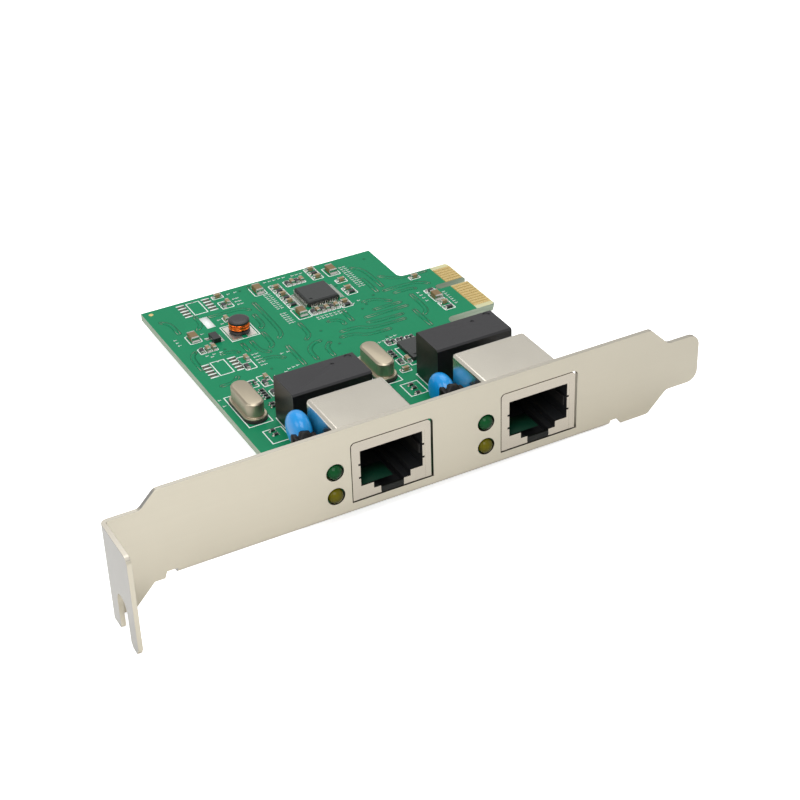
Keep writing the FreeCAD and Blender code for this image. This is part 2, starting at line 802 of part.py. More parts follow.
def make_jack_insert(number, port):
    """Moulded insert: the plug cavity, its floor and the two pegs that locate it."""
    body = new_body("jack_insert_%d" % number)
    wall = "shell_gauge + insert_gap"
    left = port + " - jack_width / 2 + " + wall
    right = port + " + jack_width / 2 - (" + wall + ")"
    front = "jack_front + shell_gauge + insert_setback"
    back = "jack_front + jack_depth - shell_gauge - insert_gap"
    block = new_sketch(body, "insert_block_%d" % number, "XY_Plane", BOARD_TOP)
    polygon(block, rectangle(left, right, front, back))
    pad(body, block, "jack_lift + jack_height - shell_gauge - insert_gap")
    top = JACK_UNDER + " + jack_height - shell_gauge - insert_gap"
    round_edges(body, "insert_top_%d" % number, "shell_corner - shell_gauge", [
        (left, top), (right, top),
    ], along="y")
    round_edges(body, "insert_back_%d" % number, "shell_corner - shell_gauge", [
        (left, back), (right, back),
    ])
    cavity = new_sketch(body, "cavity_%d" % number, "XZ_Plane", "-(" + front + ")")
    polygon(cavity, mouth(port, "cavity_gap"))
    pocket(body, cavity, "cavity_depth")
    pegs = new_sketch(body, "pegs_%d" % number, "XY_Plane", BOARD_UNDER + " - peg_tail")
    for side in (" - ", " + "):
        circle(pegs, port + side + "peg_spread", "jack_front + peg_place", "peg_radius")
    pad(body, pegs, "peg_tail + board_gauge")
    finish(body, "jack_insert_%d" % number)


def make_jack_contacts(number, port):
    """Eight sprung wires that lean down and back from the roof of the plug cavity."""
    body = new_body("jack_contacts_%d" % number)
    roof = JACK_UNDER + " + mouth_floor + mouth_height + cavity_gap"
    first = port + " - wire_pitch * 3.5 - wire_width / 2"
    wire = new_sketch(body, "wire_%d" % number, "YZ_Plane", first)
    start = "jack_front + wire_root"
    bend = start + " + wire_root_length"
    end = bend + " + wire_reach"
    polygon(wire, [
        (start, roof),
        (bend, roof),
        (end, roof + " - wire_drop"),
        (end, roof + " - wire_drop - wire_gauge"),
        (bend, roof + " - wire_gauge"),
        (start, roof + " - wire_gauge"),
    ])
    pad(body, wire, "wire_width")
    row = body.newObject("PartDesign::LinearPattern", "wire_row_%d" % number)
    row.Originals = [body.Tip]
    row.Direction = (wire, ["N_Axis"])
    row.Occurrences = 8
    bind(row, Length="wire_pitch * 7")
    body.Tip = row
    doc.recompute()
    finish(body, "jack_contacts_%d" % number)


# ---------------------------------------------------------------- tall pieces on the board

def make_transformer(number, port):
    """Moulded isolation transformer on pins, with its ejector mark and first-pin dimple."""
    body = new_body("transformer_%d" % number)
    left = port + " - transformer_width / 2"
    right = port + " + transformer_width / 2"
    front = "transformer_place"
    back = "transformer_place + transformer_depth"
    top = BOARD_TOP + " + transformer_height"
    block = new_sketch(body, "transformer_block_%d" % number, "XY_Plane",
                       BOARD_TOP + " + transformer_lift")
    polygon(block, rectangle(left, right, front, back))
    pad(body, block, "transformer_height - transformer_lift")
    round_edges(body, "transformer_long_%d" % number, "transformer_chamfer", [
        (front, top), (back, top),
    ], along="x", kind="Chamfer")
    marks = new_sketch(body, "transformer_marks_%d" % number, "XY_Plane", top)
    circle(marks, right + " - ejector_radius * 2", back + " - ejector_radius * 1.8", "ejector_radius")
    circle(marks, right + " - dimple_across", back + " - ejector_radius * 3", "ejector_radius / 2")
    pocket(body, marks, "ejector_depth")
    finish(body, "transformer_%d" % number)

    pins = []
    for row, side in enumerate((" - ", " + ")):
        for i in range(12):
            pins.append(box(
                "transformer_%d_pin_%d_%d" % (number, row, i),
                port + " + pin_pitch * %.1f - pin_size / 2" % (i - 5.5),
                front + " + transformer_depth / 2" + side + "pin_row_spread / 2 - pin_size / 2",
                BOARD_TOP,
                "pin_size",
                "pin_size",
                "transformer_lift",
            ))
    group("transformer_pins_%d" % number, pins)


def stadium(sketch, x, y, length, width):
    """A round-ended slot outline that runs along Y, held by its two centres and its width."""
    half = "(" + length + ") / 2 - (" + width + ") / 2"
    radius = "(" + width + ") / 2"
    low = y + " - (" + half + ")"
    high = y + " + " + half
    cx = value(x)
    r = value(radius)
    a = Vector(cx, value(low), 0)
    b = Vector(cx, value(high), 0)
    up = Vector(0, 0, 1)
    first = sketch.GeometryCount
    sketch.addGeometry(Part.ArcOfCircle(Part.Circle(a, up, r), math.pi, 2 * math.pi))
    sketch.addGeometry(Part.LineSegment(Vector(cx + r, a.y, 0), Vector(cx + r, b.y, 0)))
    sketch.addGeometry(Part.ArcOfCircle(Part.Circle(b, up, r), 0, math.pi))
    sketch.addGeometry(Part.LineSegment(Vector(cx - r, b.y, 0), Vector(cx - r, a.y, 0)))
    for i in range(4):
        sketch.addConstraint(
            Sketcher.Constraint("Tangent", first + i, 2, first + (i + 1) % 4, 1)
        )
    hold(sketch, first, 3, x, low)
    hold(sketch, first + 2, 3, x, high)
    index = sketch.addConstraint(Sketcher.Constraint("Radius", first, r))
    sketch.setExpression("Constraints[%d]" % index, ref(radius))


def make_crystal(number, x):
    """Quartz crystal: insulator, then a drawn can with round ends and a welded flange."""
    base = new_body("crystal_base_%d" % number)
    foot = new_sketch(base, "crystal_foot_%d" % number, "XY_Plane", BOARD_TOP)
    stadium(foot, x, "crystal_place", "crystal_base_length", "crystal_base_width")
    pad(base, foot, "crystal_base_height")
    finish(base, "crystal_base_%d" % number)

    body = new_body("crystal_can_%d" % number)
    seat = BOARD_TOP + " + crystal_base_height"
    flange = new_sketch(body, "flange_%d" % number, "XY_Plane", seat)
    stadium(
        flange, x, "crystal_place",
        "can_length + flange_rim * 2", "can_width + flange_rim * 2",
    )
    pad(body, flange, "flange_height")
    can = new_sketch(body, "can_%d" % number, "XY_Plane", seat)
    stadium(can, x, "crystal_place", "can_length", "can_width")
    pad(body, can, "can_height")
    round_rim(
        body, "can_rim_%d" % number, "can_chamfer", seat + " + can_height", kind="Chamfer"
    )
    finish(body, "crystal_can_%d" % number)


def make_disc_capacitor(number, port, place, lift):
    """Dipped disc capacitor that stands beside the jack on two leads."""
    x = port + " - jack_width / 2 - disc_gap - disc_thickness / 2"
    z = BOARD_TOP + " + " + lift
    body = new_body("disc_capacitor_%d" % number)
    # The lens-shaped section turns about the X axis of the body's own frame.
    half = new_sketch(body, "disc_section_%d" % number, "XZ_Plane")
    polygon(half, [
        ("-disc_thickness / 2", "0"),
        ("-disc_thickness / 2", "disc_flat_radius"),
        ("-disc_thickness / 2 + disc_slope", "disc_shoulder_radius"),
        ("-disc_rim / 2", "disc_radius"),
        ("disc_rim / 2", "disc_radius"),
        ("disc_thickness / 2 - disc_slope", "disc_shoulder_radius"),
        ("disc_thickness / 2", "disc_flat_radius"),
        ("disc_thickness / 2", "0"),
    ])
    revolution(body, half, "H_Axis")
    finish(body, "disc_capacitor_%d" % number)
    bind(
        body,
        Placement__Base__x=x + " - bracket_length / 2",
        Placement__Base__y=place + " + (tab_reach - (%s)) / 2" % BOARD_FAR,
        Placement__Base__z=z + " + prong_drop",
    )
    # Each lead starts where the disc's rim stands above it.
    leads = []
    for i, side in enumerate((" - ", " + ")):
        lead = doc.addObject("Part::Cylinder", "disc_lead_%d_%d" % (number, i))
        rise = lift + " - (disc_radius ^ 2 - (disc_leg_spread / 2) ^ 2) ^ 0.5"
        bind(lead, Radius="disc_leg_radius", Height=rise + " - disc_leg_radius * 0.95")
        bind(lead, Placement__Base__x=x, Placement__Base__z=BOARD_TOP)
        bind(lead, Placement__Base__y=place + side + "disc_leg_spread / 2")
        leads.append(lead)
    group("disc_capacitor_leads_%d" % number, leads)


def make_lamp(label, number, port, height):
    """Three-millimetre signal lamp: dome, barrel and rear flange, turned about its own axis."""
    name = "led_%s_%d" % (label, number)
    body = new_body(name)
    section = new_sketch(body, name + "_section", "XY_Plane")
    r = value("lamp_radius")
    barrel = "lamp_length + lamp_flange_height"
    last = value(barrel)
    dome = Part.ArcOfCircle(Part.Circle(Vector(0, r, 0), Vector(0, 0, 1), r), -math.pi / 2, 0)
    section.addGeometry(dome)
    corners = [
        Vector(r, r, 0),
        Vector(r, last - value("lamp_flange_height"), 0),
        Vector(value("lamp_flange_radius"), last - value("lamp_flange_height"), 0),
        Vector(value("lamp_flange_radius"), last, 0),
        Vector(0, last, 0),
        Vector(0, 0, 0),
    ]
    for a, b in zip(corners, corners[1:]):
        section.addGeometry(Part.LineSegment(a, b))
    section.addConstraint(Sketcher.Constraint("Coincident", 0, 2, 1, 1))
    for i in range(1, 5):
        section.addConstraint(Sketcher.Constraint("Coincident", i, 2, i + 1, 1))
    section.addConstraint(Sketcher.Constraint("Coincident", 5, 2, 0, 1))
    hold(section, 0, 3, "0", "lamp_radius")
    hold(section, 0, 2, "lamp_radius", "lamp_radius")
    hold(section, 1, 2, "lamp_radius", "lamp_length")
    hold(section, 2, 2, "lamp_flange_radius", "lamp_length")
    hold(section, 3, 2, "lamp_flange_radius", barrel)
    hold(section, 4, 2, "0", barrel)
    section.addConstraint(Sketcher.Constraint("PointOnObject", 0, 1, -2))
    revolution(body, section, "V_Axis")
    finish(body, name)
    bind(
        body,
        Placement__Base__x=port + " - jack_width / 2 - lamp_margin - bracket_length / 2",
        Placement__Base__y="-lamp_proud + (tab_reach - (%s)) / 2" % BOARD_FAR,
        Placement__Base__z=BOARD_TOP + " + " + height + " + prong_drop",
    )


def make_lamp_leads(number, port):
    """Square lamp leads: back from each lamp, then down to the board in one bend."""
    leads = []
    back = "lamp_length + lamp_flange_height - lamp_proud"
    for height, run in (
        ("lower_lamp_height", "lower_lead_run"),
        ("upper_lamp_height", "upper_lead_run"),
    ):
        y0 = value(back)
        y1 = value(back + " + " + run)
        z0 = value(BOARD_TOP)
        z1 = value(BOARD_TOP + " + " + height)
        bend = value("lead_bend")
        size = value("lead_size")
        for side in (-1, 1):
            x = value(port + " - jack_width / 2 - lamp_margin") + side * value("lead_spread / 2")
            start = Vector(x, y0, z1)
            turn = Vector(x, y1 - bend, z1)
            middle = Vector(x, y1 - bend + bend * math.sin(math.pi / 4),
                            z1 - bend + bend * math.cos(math.pi / 4))
            down = Vector(x, y1, z1 - bend)
            path = Part.Wire([
                Part.LineSegment(start, turn).toShape(),
                Part.Arc(turn, middle, down).toShape(),
                Part.LineSegment(down, Vector(x, y1, z0)).toShape(),
            ])
            h = size / 2
            square = Part.makePolygon([
                start + Vector(-h, 0, -h), start + Vector(h, 0, -h),
                start + Vector(h, 0, h), start + Vector(-h, 0, h), start + Vector(-h, 0, -h),
            ])
            leads.append(path.makePipeShell([square], True, True))
    node = doc.addObject("Part::Feature", "led_leads_%d_group" % number)
    node.Shape = Part.makeCompound(leads)
    finish(node, "led_leads_%d" % number)


# ---------------------------------------------------------------- chips

def make_bridge_chip():
    """Square flat package with bevelled edges and sixteen gull-wing leads a side."""
    x = "board_left + bridge_place_across"
    y = BOARD_FRONT + " + bridge_place_along"
    half = "bridge_size / 2"
    body = new_body("bridge_chip")
    block = new_sketch(body, "bridge_block", "XY_Plane", BOARD_TOP + " + bridge_lift")
    polygon(block, rectangle(
        x + " - " + half, x + " + " + half, y + " - " + half, y + " + " + half
    ))
    pad(body, block, "bridge_height - bridge_lift")
    round_rim(
        body, "bridge_bevel", "bridge_chamfer", BOARD_TOP + " + bridge_height", kind="Chamfer"
    )
    marks = new_sketch(body, "bridge_mark", "XY_Plane", BOARD_TOP + " + bridge_height")
    circle(marks, x + " - bridge_size * 0.36", y + " - bridge_size * 0.36", "ejector_radius / 2")
    pocket(body, marks, "ejector_depth")
    finish(body, "bridge_chip")

    # One lead's side view: a shoulder out of the body, a slope and a flat foot.
    centre = Vector(value(x), value(y), value(BOARD_TOP))
    out = value("bridge_size / 2")
    reach = value("gull_reach")
    t = value("gull_gauge")
    shoulder = value("gull_shoulder")
    rise = value("gull_height")
    side_view = [
        (out, rise), (out + shoulder, rise), (out + shoulder + t, t), (out + reach, t),
        (out + reach, 0), (out + shoulder, 0), (out + shoulder - t, rise - t), (out, rise - t),
    ]
    width = value("gull_width")
    wire = Part.makePolygon([Vector(a, -width / 2, b) for a, b in side_view + side_view[:1]])
    lead = Part.Face(wire).extrude(Vector(0, width, 0))
    leads = []
    for side in range(4):
        for i in range(16):
            copy = lead.copy()
            copy.translate(Vector(0, (i - 7.5) * value("lead_pitch"), 0))
            copy.rotate(Vector(0, 0, 0), Vector(0, 0, 1), 90 * side)
            copy.translate(centre)
            leads.append(copy)
    node = doc.addObject("Part::Feature", "bridge_chip_leads_group")
    node.Shape = Part.makeCompound(leads)
    finish(node, "bridge_chip_leads")


def make_controller(number, across):
    """Thin leadless network controller, soldered flat on the board."""
    body = new_body("controller_chip_%d" % number)
    x = "board_left + " + across
    y = BOARD_FRONT + " + controller_along"
    half = "controller_size / 2"
    block = new_sketch(body, "controller_block_%d" % number, "XY_Plane", BOARD_TOP)
    polygon(block, rectangle(
        x + " - " + half, x + " + " + half, y + " - " + half, y + " + " + half
    ))
    pad(body, block, "controller_height")
    marks = new_sketch(body, "controller_mark_%d" % number, "XY_Plane",
                       BOARD_TOP + " + controller_height")
    circle(marks, x + " - bridge_size * 0.36", y + " - bridge_size * 0.36", "ejector_radius / 2")
    pocket(body, marks, "ejector_depth")
    finish(body, "controller_chip_%d" % number)


def make_regulator():
    """Small five-legged regulator."""
    x = "board_left + regulator_across"
    y = BOARD_FRONT + " + regulator_along"
    body = new_body("regulator")
    block = new_sketch(body, "regulator_block", "XY_Plane", BOARD_TOP + " + bridge_lift")
    polygon(block, rectangle(
        x + " - regulator_width / 2", x + " + regulator_width / 2",
        y + " - regulator_length / 2", y + " + regulator_length / 2",
    ))
    pad(body, block, "regulator_height - bridge_lift")
    finish(body, "regulator")
    leads = []
    legs = [(" - ", -0.5), (" - ", 0.5), (" + ", -0.5), (" + ", 0.0), (" + ", 0.5)]
    for i, (side, share) in enumerate(legs):
        edge = x + side + "regulator_width / 2"
        start = edge + (" - gull_reach * 0.6" if side == " - " else "")
        leads.append(box(
            "regulator_lead_%d" % i,
            start,
            y + " + regulator_lead_pitch * %.1f - regulator_lead_width / 2" % share,
            BOARD_TOP,
            "gull_reach * 0.6",
            "regulator_lead_width",
            "gull_gauge + bridge_lift",
        ))
    group("regulator_leads", leads)


def make_inductor():
    """Wound power inductor: ferrite drum, soldered flat on the board, and its copper winding."""
    x = "board_left + inductor_across"
    y = BOARD_FRONT + " + inductor_along"

    def set_place(body):
        bind(
            body,
            Placement__Base__x=x + " - bracket_length / 2",
            Placement__Base__y=y + " + (tab_reach - (%s)) / 2" % BOARD_FAR,
            Placement__Base__z=BOARD_TOP + " + prong_drop",
        )

    core = new_body("inductor_core")
    section = new_sketch(core, "drum_section", "XZ_Plane")
    polygon(section, [
        ("0", "0"),
        ("inductor_radius", "0"),
        ("inductor_radius", "inductor_flange"),
        ("inductor_core_radius", "inductor_flange"),
        ("inductor_core_radius", "inductor_height - inductor_flange"),
        ("inductor_radius", "inductor_height - inductor_flange"),
        ("inductor_radius", "inductor_height"),
        ("0", "inductor_height"),
    ])
    revolution(core, section, "V_Axis")
    finish(core, "inductor_core")
    set_place(core)

    winding = new_body("inductor_winding")
    coil = new_sketch(winding, "winding_section", "XZ_Plane")
    turns = int(value("winding_turns"))
    inner = "inductor_core_radius + winding_gap"
    low = "inductor_flange + winding_gap"
    step = "(inductor_height - inductor_flange * 2 - winding_gap * 2) / %d" % turns
    corners = [(inner, low)]
    for i in range(turns):
        start = low + " + " + step + " * %d" % i
        corners.append(("winding_radius - (%s) / 3" % step, start))
        corners.append(("winding_radius", start + " + (" + step + ") / 2"))
    corners.append(("winding_radius - (%s) / 3" % step, low + " + " + step + " * %d" % turns))
    corners.append((inner, low + " + " + step + " * %d" % turns))
    polygon(coil, corners)
    revolution(winding, coil, "V_Axis")
    finish(winding, "inductor_winding")
    set_place(winding)


def make_chips(label, places, length, width, height):
    """Like surface-mounted pieces of one size, each soldered flat on the board."""
    chips = []
    for i, (across, along, turn) in enumerate(places):
        dx, dy = (length, width) if turn == 0 else (width, length)
        chips.append(box(
            "%s_%d" % (label, i),
            "board_left + %s - %s / 2" % (across, dx),
            BOARD_FRONT + " + %s - %s / 2" % (along, dy),
            BOARD_TOP,
            dx,
            dy,
            height,
        ))
    group(label, chips)


make_bracket()
make_bracket_screws()
make_circuit_board()
make_edge_contacts()
for port_number, port_place in PORTS.items():
    make_jack_shell(port_number, port_place)
    make_jack_insert(port_number, port_place)
    make_jack_contacts(port_number, port_place)
    make_transformer(port_number, port_place)
    make_lamp("yellow", port_number, port_place, "lower_lamp_height")
    make_lamp("green", port_number, port_place, "upper_lamp_height")
    make_lamp_leads(port_number, port_place)
make_crystal(1, "left_crystal_place")
make_crystal(2, "left_crystal_place + crystal_pitch")
make_disc_capacitor(1, PORTS[1], "left_disc_place", "left_disc_lift")
make_disc_capacitor(2, PORTS[2], "right_disc_place", "right_disc_lift")
make_bridge_chip()
make_controller(1, "left_controller_across")
make_controller(2, "right_controller_across")
make_regulator()
make_inductor()
make_chips("chip_resistors", RESISTOR_PLACES, "chip_length", "chip_width", "chip_height")
make_chips("chip_capacitors", CAPACITOR_PLACES, "chip_length", "chip_width", "tall_chip_height")
make_chips("large_chip_capacitors", LARGE_CAPACITOR_PLACES,
           "large_chip_length", "large_chip_width", "large_chip_height")

doc.recompute()
for thing in doc.Objects:
    if "Invalid" in thing.State or "Error" in thing.State:
        raise RuntimeError("%s failed: %s" % (thing.Name, thing.State))
for thing in SUBPARTS:
    if thing.Shape.isNull() or not thing.Shape.isValid():
        raise RuntimeError("%s has no sound shape" % thing.Label)

os.makedirs("parts", exist_ok=True)
for thing in SUBPARTS:
    thing.Shape.exportStep("parts/%s.step" % thing.Label)
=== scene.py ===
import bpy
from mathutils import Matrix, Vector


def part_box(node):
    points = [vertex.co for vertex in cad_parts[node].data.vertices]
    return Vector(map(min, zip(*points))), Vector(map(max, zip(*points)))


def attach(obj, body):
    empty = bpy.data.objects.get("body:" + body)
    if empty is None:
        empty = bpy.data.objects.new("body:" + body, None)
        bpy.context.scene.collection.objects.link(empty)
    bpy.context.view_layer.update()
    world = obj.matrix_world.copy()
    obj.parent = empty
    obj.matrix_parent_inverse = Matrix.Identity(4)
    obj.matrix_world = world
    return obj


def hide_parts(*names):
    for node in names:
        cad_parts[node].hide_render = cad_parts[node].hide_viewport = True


bl_info = {
    "name": "Network Interface Card",
    "version": (1, 0, 0),
    "blender": (4, 5, 0),
    "location": "3D View > Sidebar > Card",
    "description": "Dresses a dual-port network interface card: board, chips, jacks and bracket",
    "category": "Object",
}

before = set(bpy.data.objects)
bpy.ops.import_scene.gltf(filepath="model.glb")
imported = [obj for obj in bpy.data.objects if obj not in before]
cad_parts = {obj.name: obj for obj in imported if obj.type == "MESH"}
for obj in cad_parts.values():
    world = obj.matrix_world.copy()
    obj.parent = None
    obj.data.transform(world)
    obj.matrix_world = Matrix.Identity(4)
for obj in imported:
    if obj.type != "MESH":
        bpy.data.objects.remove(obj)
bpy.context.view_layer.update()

import math

import bmesh
import bpy
import numpy as np
from mathutils import Matrix, Vector

MM = 0.001

# The card frame in millimetres: X from the bracket's screw tab, Y from the bracket's front face
# into the card, Z from the bracket's lower edge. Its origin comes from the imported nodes.
SHELL_SETBACK = 0.15
SHEET_GAUGE = 0.86
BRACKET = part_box("bracket")
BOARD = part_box("circuit_board")
ORIGIN = np.array([
    BRACKET[0].x / MM,
    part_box("jack_shell_1")[0].y / MM - SHELL_SETBACK,
    BOARD[0].z / MM - SHEET_GAUGE,
])


def card_box(node):
    """Lowest and highest corner of a CAD node in the card frame, in millimetres."""
    low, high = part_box(node)
    return np.array(low) / MM - ORIGIN, np.array(high) / MM - ORIGIN


BOARD_LOW, BOARD_HIGH = card_box("circuit_board")
BOARD_TOP = BOARD_HIGH[2]
BOARD_UNDER = BOARD_LOW[2]
PORTS = [float(sum(box[0] for box in card_box("jack_shell_%d" % n)) / 2) for n in (1, 2)]
PORTS_MIDDLE = sum(PORTS) / 2
# The cut walls of the jack windows, which the bracket's finish paints with shade: their reach from
# the ports' middle, and their levels.
WINDOWS_REACH = (PORTS[1] - PORTS[0]) / 2 + 8.3
WINDOWS_LEVEL, WINDOWS_HALF = 8.6, 6.9
# Where the solder mask ends and the edge contacts start.
MASK_END = 99.45
# How deep the thin pieces on the board reach into it, so that no gap shows under them.
SINK = 0.005


def paint(red, green, blue):
    """A screen colour, 0 to 255, as the linear colour that a shader takes."""
    parts = np.array([red, green, blue]) / 255.0
    linear = np.where(parts <= 0.04045, parts / 12.92, ((parts + 0.055) / 1.055) ** 2.4)
    return tuple(float(part) for part in linear)


# ---------------------------------------------------------------- surfaces

class Surface:
    """Points and faces gathered as arrays, in card-frame millimetres, that become one mesh."""

    def __init__(self):
        self.points = []
        self.faces = []
        self.count = 0

    def add(self, points, faces):
        """Append points (n by 3) and faces, whose numbers count from the first new point."""
        points = np.asarray(points, float).reshape(-1, 3)
        for group in faces:
            self.faces.append(np.asarray(group, int) + self.count)
        self.points.append(points)
        self.count += len(points)
        return self

    def piece(self, name, material, slot, replaces=(), smooth=True):
        """Make the mesh, ride it on the card and name the nodes that it stands for."""
        mesh = bpy.data.meshes.new(name)
        points = (np.concatenate(self.points) + ORIGIN) * MM
        loops = np.concatenate([group.ravel() for group in self.faces])
        sizes = np.concatenate([
            np.full(len(group), group.shape[1]) for group in self.faces
        ])
        mesh.vertices.add(len(points))
        mesh.vertices.foreach_set("co", points.ravel())
        mesh.loops.add(len(loops))
        mesh.loops.foreach_set("vertex_index", loops)
        mesh.polygons.add(len(sizes))
        mesh.polygons.foreach_set("loop_start", np.concatenate([[0], np.cumsum(sizes)[:-1]]))
        mesh.update(calc_edges=True)
        mesh.validate()
        return dress(bpy.data.objects.new(name, mesh), material, replaces, smooth)


def dress(thing, material, replaces=(), smooth=True):
    """Link a piece, give it its finish, and ride it on the one body."""
    bpy.context.scene.collection.objects.link(thing)
    thing.data.materials.clear()
    thing.data.materials.append(material)
    if smooth:
        thing.data.shade_smooth()
        thing.data.set_sharp_from_angle(angle=math.radians(35))
    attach(thing, "root")
    if replaces:
        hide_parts(*replaces)
    return thing


def grid_faces(rows, columns, wrap):
    """Quads of a grid of points stored row by row; wrap closes each row into a ring."""
    last = columns if wrap else columns - 1
    i, j = np.meshgrid(np.arange(rows - 1), np.arange(last), indexing="ij")
    k = (j + 1) % columns
    return np.stack([
        i * columns + j, i * columns + k, (i + 1) * columns + k, (i + 1) * columns + j,
    ], axis=-1).reshape(-1, 4)


def lathe(profile, sides, axis="z"):
    """Solid turned about an axis: each profile point (radius, height) is swept through a circle.

    Point = (r cos a, r sin a, h) with a from 0 to a full turn; the heights rise along the
    profile, and both ends are closed by one face.
    """
    profile = np.asarray(profile, float)
    angle = np.linspace(0, 2 * math.pi, sides, endpoint=False)
    r, h = profile[:, 0][:, None], profile[:, 1][:, None]
    rings = np.stack([
        r * np.cos(angle), r * np.sin(angle), h + 0 * angle,
    ], axis=-1).reshape(-1, 3)
    quads = grid_faces(len(profile), sides, True)
    ends = np.array([np.arange(sides)[::-1], (len(profile) - 1) * sides + np.arange(sides)])
    if axis == "x":
        rings = rings[:, [2, 0, 1]]
    if axis == "y":
        rings = rings[:, [1, 2, 0]]
    return rings, [quads, ends]


def slab(outline, low, high, bevel=0.0, under=False):
    """Flat solid over an anticlockwise outline, with a small chamfer round its top edge.

    The rings run from the low outline to the high one, and the last ring is the outline moved
    inwards along its corner bisectors by the bevel.
    """
    outline = np.asarray(outline, float)
    count = len(outline)
    rings = [(outline, low)]
    if under and bevel:
        rings = [(inset(outline, bevel), low), (outline, low + bevel)]
    if bevel:
        rings += [(outline, high - bevel), (inset(outline, bevel), high)]
    else:
        rings.append((outline, high))
    points = np.concatenate([
        np.column_stack([ring, np.full(count, level)]) for ring, level in rings
    ])
    quads = grid_faces(len(rings), count, True)
    ends = np.array([np.arange(count)[::-1], (len(rings) - 1) * count + np.arange(count)])
    return points, [quads, ends]


def inset(outline, distance):
    """Each corner moved inwards so that every side moves in by the distance."""
    before = outline - np.roll(outline, 1, axis=0)
    after = np.roll(outline, -1, axis=0) - outline
    a = before / np.linalg.norm(before, axis=1)[:, None]
    b = after / np.linalg.norm(after, axis=1)[:, None]
    normal_a = np.column_stack([-a[:, 1], a[:, 0]])
    normal_b = np.column_stack([-b[:, 1], b[:, 0]])
    whole = normal_a + normal_b
    scale = np.maximum(1 + (normal_a * normal_b).sum(1), 0.2)
    return outline + whole / scale[:, None] * distance


def rectangle(left, right, low, high):
    """Four corners, anticlockwise from the lower left."""
    return np.array([(left, low), (right, low), (right, high), (left, high)], float)


def rounded(left, right, low, high, radius, steps):
    """Rectangle with quarter circles at its corners, anticlockwise from the lower right.

    Corner point = (x + r cos a, y + r sin a), with a over a quarter turn.
    """
    turns = np.linspace(0, math.pi / 2, steps)
    corners = [
        (right - radius, low + radius, -math.pi / 2), (right - radius, high - radius, 0),
        (left + radius, high - radius, math.pi / 2), (left + radius, low + radius, math.pi),
    ]
    return np.concatenate([
        np.column_stack([x + radius * np.cos(a + turns), y + radius * np.sin(a + turns)])
        for x, y, a in corners
    ])


def ring_outline(x, y, radius, sides=16):
    """Circle: (x + r cos a, y + r sin a), with a from 0 to a full turn."""
    angle = np.linspace(0, 2 * math.pi, sides, endpoint=False)
    return np.column_stack([x + radius * np.cos(angle), y + radius * np.sin(angle)])


def tube(path, radius, sides):
    """Round bar along a path, in frames that are carried along it without twisting.

    Point = path + r (u cos a + v sin a), where u and v are square to the path.
    """
    path = np.asarray(path, float)
    ahead = np.gradient(path, axis=0)
    ahead /= np.linalg.norm(ahead, axis=1)[:, None]
    start = np.array([0, 0, 1.0]) if abs(ahead[0][2]) < 0.9 else np.array([1.0, 0, 0])
    side = np.cross(ahead[0], start)
    frames = []
    for direction in ahead:
        side = side - direction * side.dot(direction)
        side = side / np.linalg.norm(side)
        frames.append((side, np.cross(direction, side)))
    u = np.array([pair[0] for pair in frames])[:, None, :]
    v = np.array([pair[1] for pair in frames])[:, None, :]
    angle = np.linspace(0, 2 * math.pi, sides, endpoint=False)[None, :, None]
    reach = np.broadcast_to(np.asarray(radius, float), len(path))[:, None, None]
    points = path[:, None, :] + reach * (np.cos(angle) * u + np.sin(angle) * v)
    quads = grid_faces(len(path), sides, True)
    ends = np.array([np.arange(sides)[::-1], (len(path) - 1) * sides + np.arange(sides)])
    return points.reshape(-1, 3), [quads, ends]


def moved(shape, x=0.0, y=0.0, z=0.0, turn=0.0):
    """A shape turned about Z and then moved."""
    points, faces = shape
    c, s = math.cos(math.radians(turn)), math.sin(math.radians(turn))
    spun = np.column_stack([
        points[:, 0] * c - points[:, 1] * s, points[:, 0] * s + points[:, 1] * c, points[:, 2],
    ])
    return spun + np.array([x, y, z]), faces


def ribbon(path, width, low, high):
    """Flat strip of one width along a flat path, mitred at its corners.

    Each point of the path gives a left and a right point, half a width off along the
    corner's bisector, divided by the cosine of half the turn.
    """
    path = np.asarray(path, float)
    steps = np.diff(path, axis=0)
    steps /= np.linalg.norm(steps, axis=1)[:, None]
    a = np.vstack([steps[:1], steps])
    b = np.vstack([steps, steps[-1:]])
    normal = np.column_stack([-(a + b)[:, 1], (a + b)[:, 0]])
    normal /= np.linalg.norm(normal, axis=1)[:, None]
    cosine = np.maximum((normal * np.column_stack([-a[:, 1], a[:, 0]])).sum(1), 0.4)
    off = normal * (width / 2 / cosine)[:, None]
    left, right = path + off, path - off
    n = len(path)
    points = np.concatenate([
        np.column_stack([left, np.full(n, high)]), np.column_stack([right, np.full(n, high)]),
        np.column_stack([left, np.full(n, low)]), np.column_stack([right, np.full(n, low)]),
    ])
    i = np.arange(n - 1)
    top = np.stack([i, i + n, i + n + 1, i + 1], axis=1)
    under = np.stack([i + 2 * n, i + 2 * n + 1, i + 3 * n + 1, i + 3 * n], axis=1)
    left_wall = np.stack([i, i + 1, i + 2 * n + 1, i + 2 * n], axis=1)
    right_wall = np.stack([i + n, i + 3 * n, i + 3 * n + 1, i + n + 1], axis=1)
    ends = np.array([[0, 2 * n, 3 * n, n], [n - 1, 2 * n - 1, 4 * n - 1, 3 * n - 1]])
    return points, [top, under, left_wall, right_wall, ends]


def curved(path):
    """A path whose corners are cut to short arcs: two rounds of corner cutting at a quarter."""
    path = np.asarray(path, float)
    for _ in range(2):
        near = path[:-1] * 0.75 + path[1:] * 0.25
        far = path[:-1] * 0.25 + path[1:] * 0.75
        middle = np.stack([near, far], axis=1).reshape(-1, 2)
        path = np.vstack([path[:1], middle[1:-1], path[-1:]])
    return path


